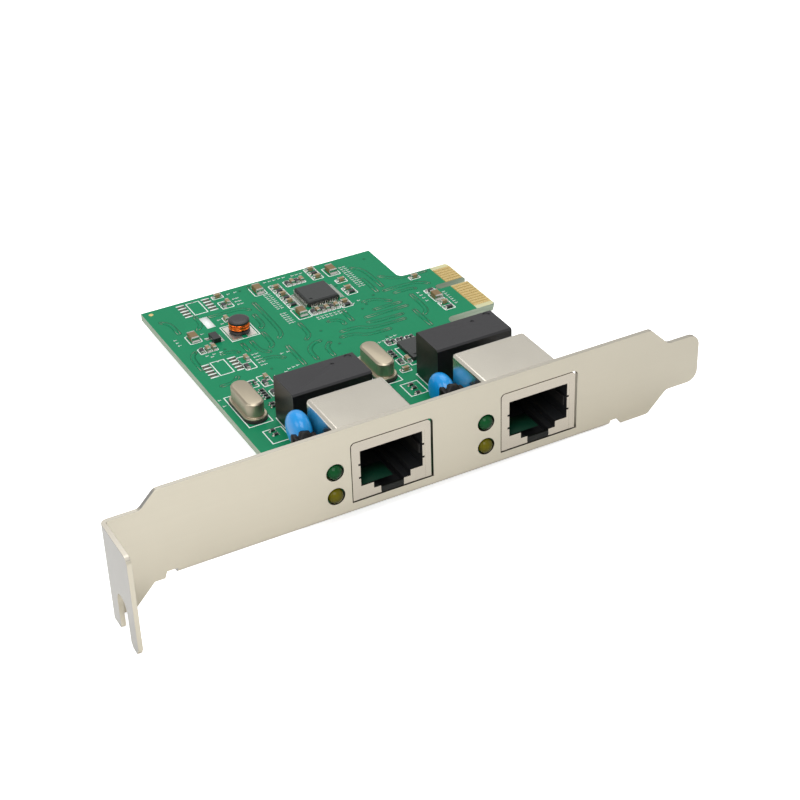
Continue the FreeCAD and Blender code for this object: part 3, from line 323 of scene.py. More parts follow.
def band(outline, width, low, high):
    """Closed frame of one width inside an anticlockwise outline: four rings joined in a loop."""
    outline = np.asarray(outline, float)
    inner = inset(outline, width)
    n = len(outline)
    points = np.concatenate([
        np.column_stack([ring, np.full(n, level)])
        for ring, level in ((outline, low), (outline, high), (inner, high), (inner, low))
    ])
    i, j = np.meshgrid(np.arange(4), np.arange(n), indexing="ij")
    up, on = (i + 1) % 4, (j + 1) % n
    quads = np.stack([i * n + j, i * n + on, up * n + on, up * n + j], axis=-1).reshape(-1, 4)
    return points, [quads]


def upright(shape):
    """A flat shape stood up behind the bracket: its own heights become depths along Y."""
    points, faces = shape
    return np.asarray(points)[:, [0, 2, 1]], [group[:, ::-1] for group in faces]


def flipped(shape, level):
    """A shape mirrored in the flat plane at a level, with its faces turned outwards again."""
    points, faces = shape
    points = np.array(points, float)
    points[:, 2] = 2 * level - points[:, 2]
    return points, [group[:, ::-1] for group in faces]


def solids(node):
    """Lowest and highest corner of each separate solid of a CAD node, in card millimetres.

    Every point takes the smallest number that it meets along its edges, over and over, until
    nothing changes; points that then share a number belong to one solid.
    """
    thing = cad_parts[node]
    mesh = thing.data
    points = np.empty(len(mesh.vertices) * 3)
    mesh.vertices.foreach_get("co", points)
    turn = np.array(thing.matrix_world)
    points = points.reshape(-1, 3) @ turn[:3, :3].T + turn[:3, 3]
    points = points / MM - ORIGIN
    merged, number = np.unique(np.round(points, 3), axis=0, return_inverse=True)
    edges = np.empty(len(mesh.edges) * 2, int)
    mesh.edges.foreach_get("vertices", edges)
    a, b = number.ravel()[edges.reshape(-1, 2)].T
    label = np.arange(len(merged))
    for _ in range(len(merged)):
        before = label.copy()
        least = np.minimum(label[a], label[b])
        np.minimum.at(label, a, least)
        np.minimum.at(label, b, least)
        label = label[label]
        if (label == before).all():
            break
    return [
        (merged[label == each].min(axis=0), merged[label == each].max(axis=0))
        for each in np.unique(label)
    ]


def softened(node, width):
    """A merged copy of a CAD node whose sharp edges get a small round."""
    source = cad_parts[node]
    mesh = source.data.copy()
    work = bmesh.new()
    work.from_mesh(mesh)
    bmesh.ops.remove_doubles(work, verts=work.verts, dist=2e-6)
    bmesh.ops.dissolve_limit(
        work, angle_limit=math.radians(1), verts=work.verts, edges=work.edges
    )
    work.to_mesh(mesh)
    work.free()
    thing = bpy.data.objects.new(node + "_finish", mesh)
    bevel = thing.modifiers.new("edges", "BEVEL")
    bevel.width = width * MM
    bevel.segments = 2
    bevel.limit_method = "ANGLE"
    bevel.angle_limit = math.radians(40)
    bevel.use_clamp_overlap = True
    return thing


# ---------------------------------------------------------------- shader expressions

class Value:
    """A node's output, on which sums, products and comparisons add Math nodes."""

    def __init__(self, nodes, socket):
        self.nodes = nodes
        self.socket = socket

    def math(self, operation, *others):
        """A Math node on this value and then the others."""
        return self.nodes.node("ShaderNodeMath", {"operation": operation}, self, *others)

    def reflected(self, operation, other):
        """A Math node on the other and then this value."""
        return self.nodes.node("ShaderNodeMath", {"operation": operation}, other, self)

    def __add__(self, other):
        return self.math("ADD", other)

    def __sub__(self, other):
        return self.math("SUBTRACT", other)

    def __mul__(self, other):
        return self.math("MULTIPLY", other)

    def __truediv__(self, other):
        return self.math("DIVIDE", other)

    def __radd__(self, other):
        return self.reflected("ADD", other)

    def __rsub__(self, other):
        return self.reflected("SUBTRACT", other)

    def __rmul__(self, other):
        return self.reflected("MULTIPLY", other)

    def __rtruediv__(self, other):
        return self.reflected("DIVIDE", other)

    def above(self, edge):
        """1 where the value is over the edge, and 0 elsewhere."""
        return self.math("GREATER_THAN", edge)

    def below(self, edge):
        """1 where the value is under the edge, and 0 elsewhere."""
        return self.math("LESS_THAN", edge)

    def absolute(self):
        """The value without its sign."""
        return self.math("ABSOLUTE")

    def held(self):
        """Kept between 0 and 1."""
        return self.math("MINIMUM", 1.0).math("MAXIMUM", 0.0)


class Nodes:
    """A node tree on which expressions add their nodes."""

    def __init__(self, tree):
        self.tree = tree

    def node(self, kind, settings, *inputs, output=0):
        """Any node: its settings, then its inputs in order, or keyed by name or number."""
        made = self.tree.nodes.new(kind)
        for name, value in settings.items():
            setattr(made, name, value)
        pairs = inputs[0].items() if inputs and isinstance(inputs[0], dict) else enumerate(inputs)
        for key, value in pairs:
            self.feed(made.inputs[key], value)
        return Value(self, made.outputs[output])

    def feed(self, socket, value):
        """Link a value to a socket, or write a number or colour on it."""
        if isinstance(value, Value):
            self.tree.links.new(value.socket, socket)
            return
        if hasattr(value, "__len__") and len(value) == 3 and len(socket.default_value) == 4:
            value = tuple(value) + (1.0,)
        socket.default_value = value


class Finish(Nodes):
    """A material made from expressions on its own nodes."""

    def __init__(self, name, **uniform):
        self.material = bpy.data.materials.new(name)
        self.material.use_nodes = True
        super().__init__(self.material.node_tree)
        self.shader = self.tree.nodes["Principled BSDF"]
        self.set(**uniform)

    def set(self, **sockets):
        """Numbers and colours go straight on the shader's sockets, and values are linked."""
        for name, value in sockets.items():
            self.feed(self.shader.inputs[name.replace("_", " ")], value)

    def place(self):
        """Object coordinates, in metres."""
        return self.node("ShaderNodeTexCoord", {}, output=3)

    def card_place(self):
        """The three card-frame coordinates, in millimetres."""
        parts = self.node("ShaderNodeSeparateXYZ", {}, self.place())
        return [
            Value(self, output) / MM - float(start)
            for output, start in zip(parts.socket.node.outputs, ORIGIN)
        ]

    def stretched(self, x, y, z):
        """Object coordinates multiplied along each axis."""
        return self.node("ShaderNodeVectorMath", {"operation": "MULTIPLY"}, self.place(), (x, y, z))

    def noise(self, scale, detail, roughness, where=None):
        """Smooth noise from 0 to 1; scale counts its waves in a metre."""
        return self.node("ShaderNodeTexNoise", {}, {
            "Vector": where or self.place(), "Scale": scale, "Detail": detail,
            "Roughness": roughness,
        })

    def blend(self, share, first, second):
        """Colour mix: share 0 gives the first and share 1 the second.

        The colour form of the Mix node has its colours on inputs 6 and 7 and output 2.
        """
        return self.node(
            "ShaderNodeMix", {"data_type": "RGBA"}, {0: share, 6: first, 7: second}, output=2)

    def bump(self, height, strength, distance):
        """A height from 0 to 1 times a distance in millimetres, to a bent normal."""
        return self.node("ShaderNodeBump", {}, {
            "Strength": strength, "Distance": distance * MM, "Height": height,
        })

    def facing(self, axis):
        """One part of the surface normal."""
        normal = self.node("ShaderNodeNewGeometry", {}, output=1)
        return self.node("ShaderNodeSeparateXYZ", {}, normal, output="XYZ".index(axis))


# ---------------------------------------------------------------- finishes

def scaled(colour, share, lift=0.0):
    """A colour whose parts are multiplied by a share and lifted, up to 1."""
    return tuple(min(1.0, part * share + lift) for part in colour)


def sheet_finish(name, colour, roughness, grain=1.0, window_shade=None, front=None):
    """Plated sheet: fine rolling grain along X, cloudy sheen and faint handling marks.

    With a colour for the window walls, the sheet is the bracket's and takes painted shade: faces
    that look up or down turn greyer, the side faces darker and more neutral, the walls of the
    jack windows take that colour, and the whole sheet darkens a little along X. With a front
    colour, the faces that look out of the bracket take it as painted shade.
    """
    finish = Finish(name, Metallic=1.0)
    rolled = finish.noise(900.0, 3.0, 0.6, finish.stretched(0.03, 1.0, 1.0))
    cloud = finish.noise(45.0, 3.0, 0.55)
    rub = finish.noise(260.0, 4.0, 0.7)
    tone = (cloud * 0.75 + rolled * 0.25).held()
    skin = finish.blend(tone, scaled(colour, 0.93), scaled(colour, 1.05))
    if window_shade:
        side = finish.facing("X").absolute().above(0.6)
        rise = finish.facing("Z").absolute().above(0.6)
        across, _, level = finish.card_place()
        near = (across - PORTS_MIDDLE).absolute().below(WINDOWS_REACH)
        window = near * (level - WINDOWS_LEVEL).absolute().below(WINDOWS_HALF)
        # Painted shade: side faces, the tab among them, take a darker, more neutral colour.
        skin = finish.blend(side, skin, user_colour("side_shade"))
        # Painted shade: faces that look up or down are half blended to a greyer colour.
        skin = finish.blend(rise * 0.5, skin, user_colour("level_face_shade"))
        # Painted shade: the walls of the jack windows take the dark window colour.
        skin = finish.blend(window * (side + rise).held(), skin, window_shade)
        # Painted shade: the whole sheet darkens towards its far end along X.
        fade_length, fade_share = 130.0, 0.36
        fade = (across / fade_length).held() * fade_share
        skin = finish.blend(fade, skin, scaled(colour, 0.45))
    if front:
        # Painted shade: faces looking out of the bracket take the darker front colour.
        skin = finish.blend(finish.facing("Y").below(-0.8), skin, front)
    finish.set(Base_Color=skin)
    finish.set(Roughness=(roughness - 0.07 + cloud * 0.08 + rub * 0.06).held())
    finish.set(Normal=finish.bump(rolled, 0.08 * grain, 0.01))
    return finish.material


def plain_metal(name, colour, roughness):
    """Small tinned, gilt or drawn metal with a slightly uneven skin."""
    finish = Finish(name, Metallic=1.0)
    skin = finish.noise(1500.0, 3.0, 0.6)
    finish.set(Base_Color=finish.blend(skin, scaled(colour, 0.86), colour))
    finish.set(Roughness=(roughness - 0.06 + skin * 0.12).held())
    finish.set(Normal=finish.bump(skin, 0.12, 0.01))
    return finish.material


def moulded(name, colour, roughness, grain=0.25, coat=0.0, scale=4500.0, shine=0.5):
    """Moulded or dipped plastic with fine grain and a little mottle."""
    finish = Finish(name, Coat_Weight=coat, Coat_Roughness=0.06, Specular_IOR_Level=shine)
    fine = finish.noise(scale, 3.0, 0.65)
    cloud = finish.noise(160.0, 2.0, 0.5)
    mottle = (cloud * 0.6 + fine * 0.4).held()
    pale = scaled(colour, 1.14, 0.002)
    finish.set(Base_Color=finish.blend(mottle, scaled(colour, 0.82), pale))
    finish.set(Roughness=(roughness - 0.06 + fine * 0.12).held())
    finish.set(Normal=finish.bump(fine, grain, 0.02))
    return finish.material


def cast_case(colour):
    """Cast case: a matt top, and smoother sides that take a darker colour as painted shade."""
    finish = Finish("transformer_epoxy", Specular_IOR_Level=0.45)
    up = finish.facing("Z").above(0.6)
    fine = finish.noise(4200.0, 3.0, 0.65)
    cloud = finish.noise(140.0, 2.0, 0.5)
    tone = (cloud * 0.5 + fine * 0.5).held()
    top = finish.blend(tone, scaled(colour, 0.85), scaled(colour, 1.15))
    # Painted shade: the sides take darker fixed colours than the top.
    side = finish.blend(cloud, paint(15, 16, 17), paint(24, 25, 26))
    finish.set(Base_Color=finish.blend(up, side, top))
    finish.set(Roughness=(up * 0.16 + fine * 0.1 + 0.26).held())
    finish.set(Normal=finish.bump(fine, 0.14, 0.02))
    return finish.material


def lens_finish(name, colour):
    """Tinted lamp lens: brighter where it faces the eye and darker at its rim, both painted light."""
    finish = Finish(name, Coat_Weight=0.2, Coat_Roughness=0.03, Specular_IOR_Level=0.05)
    skin = finish.noise(1400.0, 2.0, 0.5)
    glance = finish.node("ShaderNodeLayerWeight", {}, {"Blend": 0.45}, output=1)
    rim = (glance * 1.1).held()
    # Painted light and shade: a brighter copy of the tint where the lens faces the eye, a darker one
    # at its rim.
    finish.set(Base_Color=finish.blend(rim, scaled(colour, 1.9), scaled(colour, 0.4)))
    finish.set(Roughness=(skin * 0.1 + 0.1).held())
    return finish.material


def board_finish():
    """Solder mask over a weave, bare laminate along the edge contacts, and pale cut edges.

    The bare laminate is palest outside the rows of contacts and along the key notch.
    """
    finish = Finish("solder_mask", Specular_IOR_Level=0.14)
    up = finish.facing("Z").absolute().above(0.7)
    cloud = finish.noise(38.0, 3.0, 0.6)
    weave_x = finish.noise(1400.0, 1.0, 0.4, finish.stretched(1.0, 0.12, 1.0))
    weave_y = finish.noise(1400.0, 1.0, 0.4, finish.stretched(0.12, 1.0, 1.0))
    tone = (cloud * 0.6 + weave_x * 0.2 + weave_y * 0.2).held()
    mask = finish.blend(tone, user_colour("mask_dark"), user_colour("mask_light"))
    layers = finish.noise(2600.0, 1.0, 0.5, finish.stretched(0.05, 0.05, 1.0))
    edge = finish.blend(layers, user_colour("laminate"), user_colour("laminate_dark"))
    across, along, _ = finish.card_place()
    rows = sorted(float(box[0][1]) for box in solids("edge_contacts"))
    steps = np.diff(rows)
    notch = rows[int(steps.argmax())] + steps.max() / 2
    low, high = card_box("edge_contacts")
    outer = (across.above(float(high[0])) + along.below(float(low[1]))
             + along.above(float(high[1])) + (along - float(notch)).absolute().below(1.0)).held()
    bare = finish.blend(layers * 0.3, user_colour("bare"), user_colour("rim"))
    rim = finish.blend(layers, user_colour("laminate"), user_colour("rim"))
    mask = finish.blend(across.above(MASK_END), mask, finish.blend(outer, bare, rim))
    finish.set(Base_Color=finish.blend(up, edge, mask))
    finish.set(Roughness=(0.62 - up * 0.2 + cloud * 0.06).held())
    finish.set(Normal=finish.bump(weave_x + weave_y, 0.1, 0.01))
    return finish.material


# ---------------------------------------------------------------- colours, sizes and places

def colour_property(name, description, red, green, blue):
    """A colour that the user can change; its default is a screen colour."""
    return bpy.props.FloatVectorProperty(
        name=name, description=description, subtype="COLOR", default=paint(red, green, blue),
        min=0.0, max=1.0)


def length_property(name, description, millimetres):
    """A length that the user can change; its default is in millimetres."""
    return bpy.props.FloatProperty(
        name=name, description=description, default=millimetres * MM, min=0.0, precision=6,
        subtype="DISTANCE", unit="LENGTH")


class CardColours(bpy.types.PropertyGroup):
    """Colours of the card's finishes."""

    nickel: colour_property("Bracket", "Nickel plating of the bracket", 222, 215, 197)
    # Painted shade for the bracket's side faces, the tab among them.
    side_shade: colour_property("Tab", "Side faces of the bracket", 186, 184, 179)
    # Painted shade, half blended on every bracket face that looks up or down, not only the cut edges.
    level_face_shade: colour_property("Sheet edge", "Cut edges of the bracket", 150, 146, 142)
    shield: colour_property("Jack shield", "Tin plating of the jack shields", 222, 216, 203)
    # Painted shade for every jack face that looks out of the bracket, in a darker tin.
    jack_front: colour_property("Jack front", "Tin plating of the jacks' front plates", 206, 198, 184)
    mask_dark: colour_property("Mask, dark", "Solder mask over copper", 14, 118, 80)
    mask_light: colour_property("Mask, light", "Solder mask over laminate", 20, 140, 95)
    laminate: colour_property("Laminate", "Cut edge of the board", 182, 194, 176)
    laminate_dark: colour_property("Laminate, dark", "Inner layers at the cut edge", 134, 150, 128)
    bare: colour_property("Bare laminate", "Laminate between the edge contacts", 164, 138, 78)
    rim: colour_property("Laminate rim", "Bevel at the end of the contacts", 222, 210, 150)
    gold: colour_property("Gold", "Gold of the contacts", 236, 208, 142)
    print_white: colour_property("Print", "White outlines printed on the board", 236, 244, 238)
    trace: colour_property("Tracks", "Solder mask over the raised tracks", 12, 108, 72)
    chip: colour_property("Chips", "Moulding compound of the chips", 40, 43, 42)
    transformer: colour_property("Transformers", "Moulding compound of the transformers", 28, 27, 30)
    disc: colour_property("Disc capacitors", "Dipped blue coating", 6, 146, 222)
    crystal: colour_property("Crystal cans", "Drawn metal of the cans", 176, 166, 146)
    copper: colour_property("Copper", "Enamelled winding wire", 232, 112, 42)
    ceramic: colour_property("Chip ceramic", "Ceramic of the chip capacitors", 150, 130, 96)
    green_lens: colour_property("Green lamps", "Tinted lens", 6, 58, 26)
    yellow_lens: colour_property("Yellow lamps", "Tinted lens", 74, 69, 4)


class CardSizes(bpy.types.PropertyGroup):
    """Sizes of what the dressing adds."""

    print_gauge: length_property("Print thickness", "Height of the print above the board", 0.02)
    print_width: length_property("Print line", "Width of a printed line", 0.22)
    trace_gauge: length_property("Track height", "Height of a track above the board", 0.012)
    track_width: length_property("Track width", "Width of a track between its shoulders", 1.1)
    drum_margin: length_property("Drum margin", "Drum's flange inside its outline", 0.42)
    edge_round: length_property("Sheet edge", "Rounding of the sheet's edges", 0.09)


# Pitch of the unfitted packages' pads and of the jacks' wires, in millimetres.
PITCH = 1.27
# Thickness of the lamps' lead wires.
LEAD_WIRE = 0.44
# Printed cells round the rows of chip parts: left, right, front and back in card millimetres.
CELLS = (
    (65.9, 68.5, 67.7, 79.0), (65.6, 68.8, 62.6, 67.4), (68.9, 75.5, 62.7, 65.3),
    (69.4, 74.1, 76.5, 79.1), (75.6, 78.2, 76.2, 81.7), (79.1, 82.1, 75.9, 79.9),
    (79.3, 81.9, 72.2, 74.0), (78.9, 81.5, 66.6, 70.2), (61.9, 64.9, 76.3, 80.3),
    (75.6, 78.2, 62.3, 65.3), (53.6, 56.2, 79.6, 81.2), (53.8, 56.6, 74.9, 78.2),
    (48.0, 50.5, 50.2, 55.7), (48.4, 50.9, 42.8, 47.1), (42.6, 46.6, 60.4, 62.8),
    (48.4, 51.2, 38.9, 41.3), (74.9, 78.0, 36.2, 38.6), (73.9, 76.3, 33.4, 35.0),
    (93.4, 96.0, 50.4, 54.2), (93.4, 95.9, 54.5, 58.3), (93.4, 96.0, 58.6, 60.2),
    (93.4, 96.0, 65.4, 67.0), (42.3, 45.1, 65.1, 68.7), (52.0, 53.4, 69.7, 71.9),
    (76.4, 78.6, 43.9, 46.0), (78.7, 80.6, 43.7, 45.8), (80.7, 82.8, 43.5, 45.6),
    (46.0, 47.9, 43.6, 46.6),
)
# Small parts beside the crystals and the jacks: middle, then half sizes along X and Y.
SMALL_PARTS = (
    (77.0, 44.9, 0.4, 0.75), (78.1, 44.9, 0.3, 0.6), (79.2, 44.8, 0.3, 0.6),
    (80.1, 44.8, 0.3, 0.6), (81.2, 44.6, 0.3, 0.6), (82.2, 44.6, 0.3, 0.6),
    (75.5, 41.6, 0.55, 0.28), (75.5, 40.6, 0.55, 0.28), (75.5, 39.6, 0.55, 0.28),
    (46.4, 45.2, 0.28, 0.55), (47.4, 45.2, 0.28, 0.55), (47.3, 41.9, 0.55, 0.28),
    (47.3, 40.9, 0.55, 0.28), (47.3, 39.9, 0.55, 0.28), (47.3, 38.9, 0.55, 0.28),
    (47.1, 36.6, 0.55, 0.28), (47.1, 35.6, 0.55, 0.28), (43.2, 28.1, 0.5, 0.3),
    (43.2, 26.6, 0.5, 0.3), (73.2, 28.8, 0.5, 0.3), (73.2, 27.4, 0.5, 0.3),
    (73.0, 25.6, 0.5, 0.3),
)
# Other printed outlines.
OUTLINES = (
    (39.85, 44.95, 31.2, 43.4), (67.85, 72.95, 31.2, 43.4), (50.05, 56.4, 61.75, 68.4),
    (47.8, 50.9, 75.7, 81.1), (42.75, 45.9, 51.1, 56.7), (45.6, 61.9, 21.6, 31.9),
    (76.0, 92.0, 21.6, 31.9), (76.9, 84.3, 35.0, 42.4), (41.4, 45.4, 24.0, 28.9),
    (71.3, 75.2, 25.0, 29.9),
)
# A plain printed patch: left, right, front and back.
PATCH = (47.9, 49.7, 69.3, 74.0)
# The two pads under the inductor, and the middles of the gilt marks.
INDUCTOR_PADS = ((50.45, 52.7, 62.2, 67.9), (53.7, 55.95, 62.2, 67.9))
CORNER_MARKS = ((40.0, 80.7), (89.6, 3.6))
# Bare pads of the two unfitted eight-lead packages: left row, right row, front pad.
UNFITTED = ((46.55, 52.25, 76.5), (41.63, 47.35, 51.9))
# Rows of short printed strokes: start, end and number of strokes.
STROKES = (
    ((63.9, 69.2), (63.9, 75.8), 9), ((64.8, 69.2), (64.8, 75.8), 9),
    ((69.4, 60.9), (75.3, 60.9), 7), ((69.4, 61.7), (75.3, 61.7), 7),
    ((64.3, 62.6), (64.3, 66.9), 6), ((63.5, 62.6), (63.5, 66.9), 6),
    ((66.2, 80.9), (70.6, 80.9), 5), ((72.6, 80.6), (74.6, 80.6), 3),
    ((83.0, 68.9), (83.0, 78.4), 12), ((83.9, 68.9), (83.9, 78.4), 12),
    ((57.6, 75.3), (57.6, 77.9), 3), ((58.4, 75.3), (58.4, 77.9), 3),
    ((57.4, 80.4), (59.0, 80.4), 2), ((51.6, 50.6), (51.6, 55.2), 5),
    ((52.4, 50.6), (52.4, 55.2), 5), ((43.5, 59.4), (46.5, 59.4), 3),
    ((44.3, 58.6), (46.3, 58.6), 2), ((40.3, 66.0), (40.3, 68.4), 3),
    ((46.0, 65.9), (46.0, 67.9), 2), ((51.3, 69.6), (51.3, 71.4), 2),
    ((45.9, 45.5), (52.2, 45.6), 4), ((51.9, 42.9), (54.6, 45.9), 4),
    ((38.95, 40.6), (38.95, 43.0), 2), ((56.8, 52.6), (58.2, 52.6), 2),
    ((78.3, 63.0), (79.9, 63.6), 2), ((97.0, 52.2), (97.0, 57.6), 7),
    ((92.2, 56.1), (92.2, 60.0), 4), ((73.7, 45.8), (79.6, 47.0), 7),
    ((63.6, 43.2), (66.0, 44.4), 3), ((55.6, 46.6), (57.6, 46.9), 3),
)
# Copper tracks under the mask, routed on a half-millimetre grid from corner to corner.
TRACKS = (
    ((60.5, 74.0), (60.5, 60.0), (59.0, 58.5)), ((65.0, 61.5), (65.0, 56.5), (63.5, 55.0)),
    ((59.0, 54.5), (59.0, 46.5)), ((62.0, 47.0), (62.0, 51.0), (64.0, 53.0), (65.5, 53.0)),
    ((65.5, 46.5), (65.5, 50.0), (67.0, 51.5)), ((57.0, 62.0), (57.0, 57.0), (56.0, 56.0)),
    ((70.5, 59.0), (72.0, 59.0), (73.0, 58.0), (73.0, 56.5)), ((75.0, 61.5), (75.0, 57.0)),
    ((71.0, 54.0), (75.0, 54.0), (77.0, 52.0), (84.5, 52.0)),
    ((70.0, 52.0), (73.0, 52.0), (75.0, 50.0), (80.0, 50.0)),
    ((77.5, 54.5), (79.0, 54.0), (85.0, 54.0)), ((78.0, 56.5), (87.5, 56.5)),
    ((81.0, 58.5), (87.0, 58.5)), ((80.5, 62.5), (83.0, 62.5), (85.5, 60.0)),
    ((88.5, 70.5), (91.5, 67.5), (98.0, 67.5)), ((86.5, 64.5), (94.0, 64.5), (96.0, 62.5)),
    ((88.0, 62.5), (92.0, 62.5), (92.5, 62.0)), ((90.5, 60.0), (90.5, 53.0), (89.0, 51.5)),
    ((88.0, 54.0), (88.0, 47.0)), ((85.0, 77.0), (87.0, 75.0), (87.0, 66.5)),
    ((84.5, 71.5), (85.0, 71.0), (85.0, 65.0)), ((40.5, 76.5), (42.0, 75.0), (42.0, 70.5)),
    ((46.0, 70.0), (47.5, 71.5), (47.5, 75.0)), ((50.0, 73.5), (57.0, 73.5), (58.5, 72.0)),
    ((58.5, 69.5), (58.5, 65.0), (57.5, 64.0)), ((40.5, 55.0), (40.5, 60.5), (42.0, 62.0)),
    ((53.5, 60.0), (53.5, 56.0), (55.0, 54.5)), ((51.5, 60.0), (51.5, 57.0)),
    ((46.5, 58.5), (48.5, 58.5), (49.5, 57.5)), ((52.0, 52.5), (55.0, 52.5), (56.5, 51.0)),
    ((41.5, 47.5), (44.0, 47.5), (45.5, 49.0)), ((62.5, 79.0), (62.5, 81.0)),
)
# More plated holes, beside those at the ends of the tracks.
VIAS = (
    (79.0, 60.1), (80.6, 61.4), (83.6, 64.0), (78.6, 71.6), (60.1, 80.3), (89.3, 79.2),
    (47.6, 60.0), (52.6, 48.4), (67.5, 56.5), (68.5, 50.0), (78.0, 47.5), (54.5, 65.0),
)


def user_colour(name):
    """One of the user's colours."""
    return tuple(getattr(bpy.context.scene.card_colours, name))


def user_size(name):
    """One of the user's sizes, in millimetres."""
    return getattr(bpy.context.scene.card_sizes, name) / MM


def use(node, material):
    """Give a carried-over CAD node its finish."""
    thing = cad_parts[node]
    thing.data.materials.clear()
    thing.data.materials.append(material)


def chip_parts(boxes, end):
    """Body, plated ends and solder of every chip part in a list of boxes.

    The body is the box drawn in a little at its two ends and sides; the ends are the full box
    over a share of its length; the solder is a flat pyramid on the pad beyond each end.
    """
    bodies, ends, solder = Surface(), Surface(), Surface()
    for low, high in boxes:
        middle, half = (low + high) / 2, (high - low) / 2
        turn = 0.0 if half[0] > half[1] else 90.0
        length, width = max(half[0], half[1]), min(half[0], half[1])
        tall = high[2] - low[2]
        seat = middle[0], middle[1], low[2], turn
        core = rectangle(-length * 0.9, length * 0.9, -width * 0.95, width * 0.95)
        bodies.add(*moved(slab(core, 0.02, tall * 0.96, width * 0.08), *seat))
        for side in (-1, 1):
            near, far = sorted((side * length * (1 - end), side * length))
            cap = rectangle(near, far, -width, width)
            ends.add(*moved(slab(cap, 0.0, tall, width * 0.14), *seat))
            near, far = sorted((side * length * 0.8, side * (length + 0.28)))
            foot = rectangle(near, far, -width * 1.04, width * 1.04)
            solder.add(*moved(slab(foot, 0.0, tall * 0.42, 0.24), *seat))
    return bodies, ends, solder


# ---------------------------------------------------------------- operators

class CARD_OT_bracket(bpy.types.Operator):
    """Bracket sheet with rounded edges and a satin nickel finish."""

    bl_idname = "card.bracket"
    bl_label = "Bracket"

    def execute(self, context):
        # Painted shade on the bracket: its window walls, side faces and faces looking up or down take
        # darker colours, and it darkens along X.
        nickel = sheet_finish(
            "nickel_plate", user_colour("nickel"), 0.36, window_shade=paint(64, 54, 44))
        sheet = softened("bracket", user_size("edge_round"))
        dress(sheet, nickel, ["bracket"])
        use("bracket_screws", plain_metal("zinc_plate", paint(196, 194, 188), 0.3))
        return {"FINISHED"}


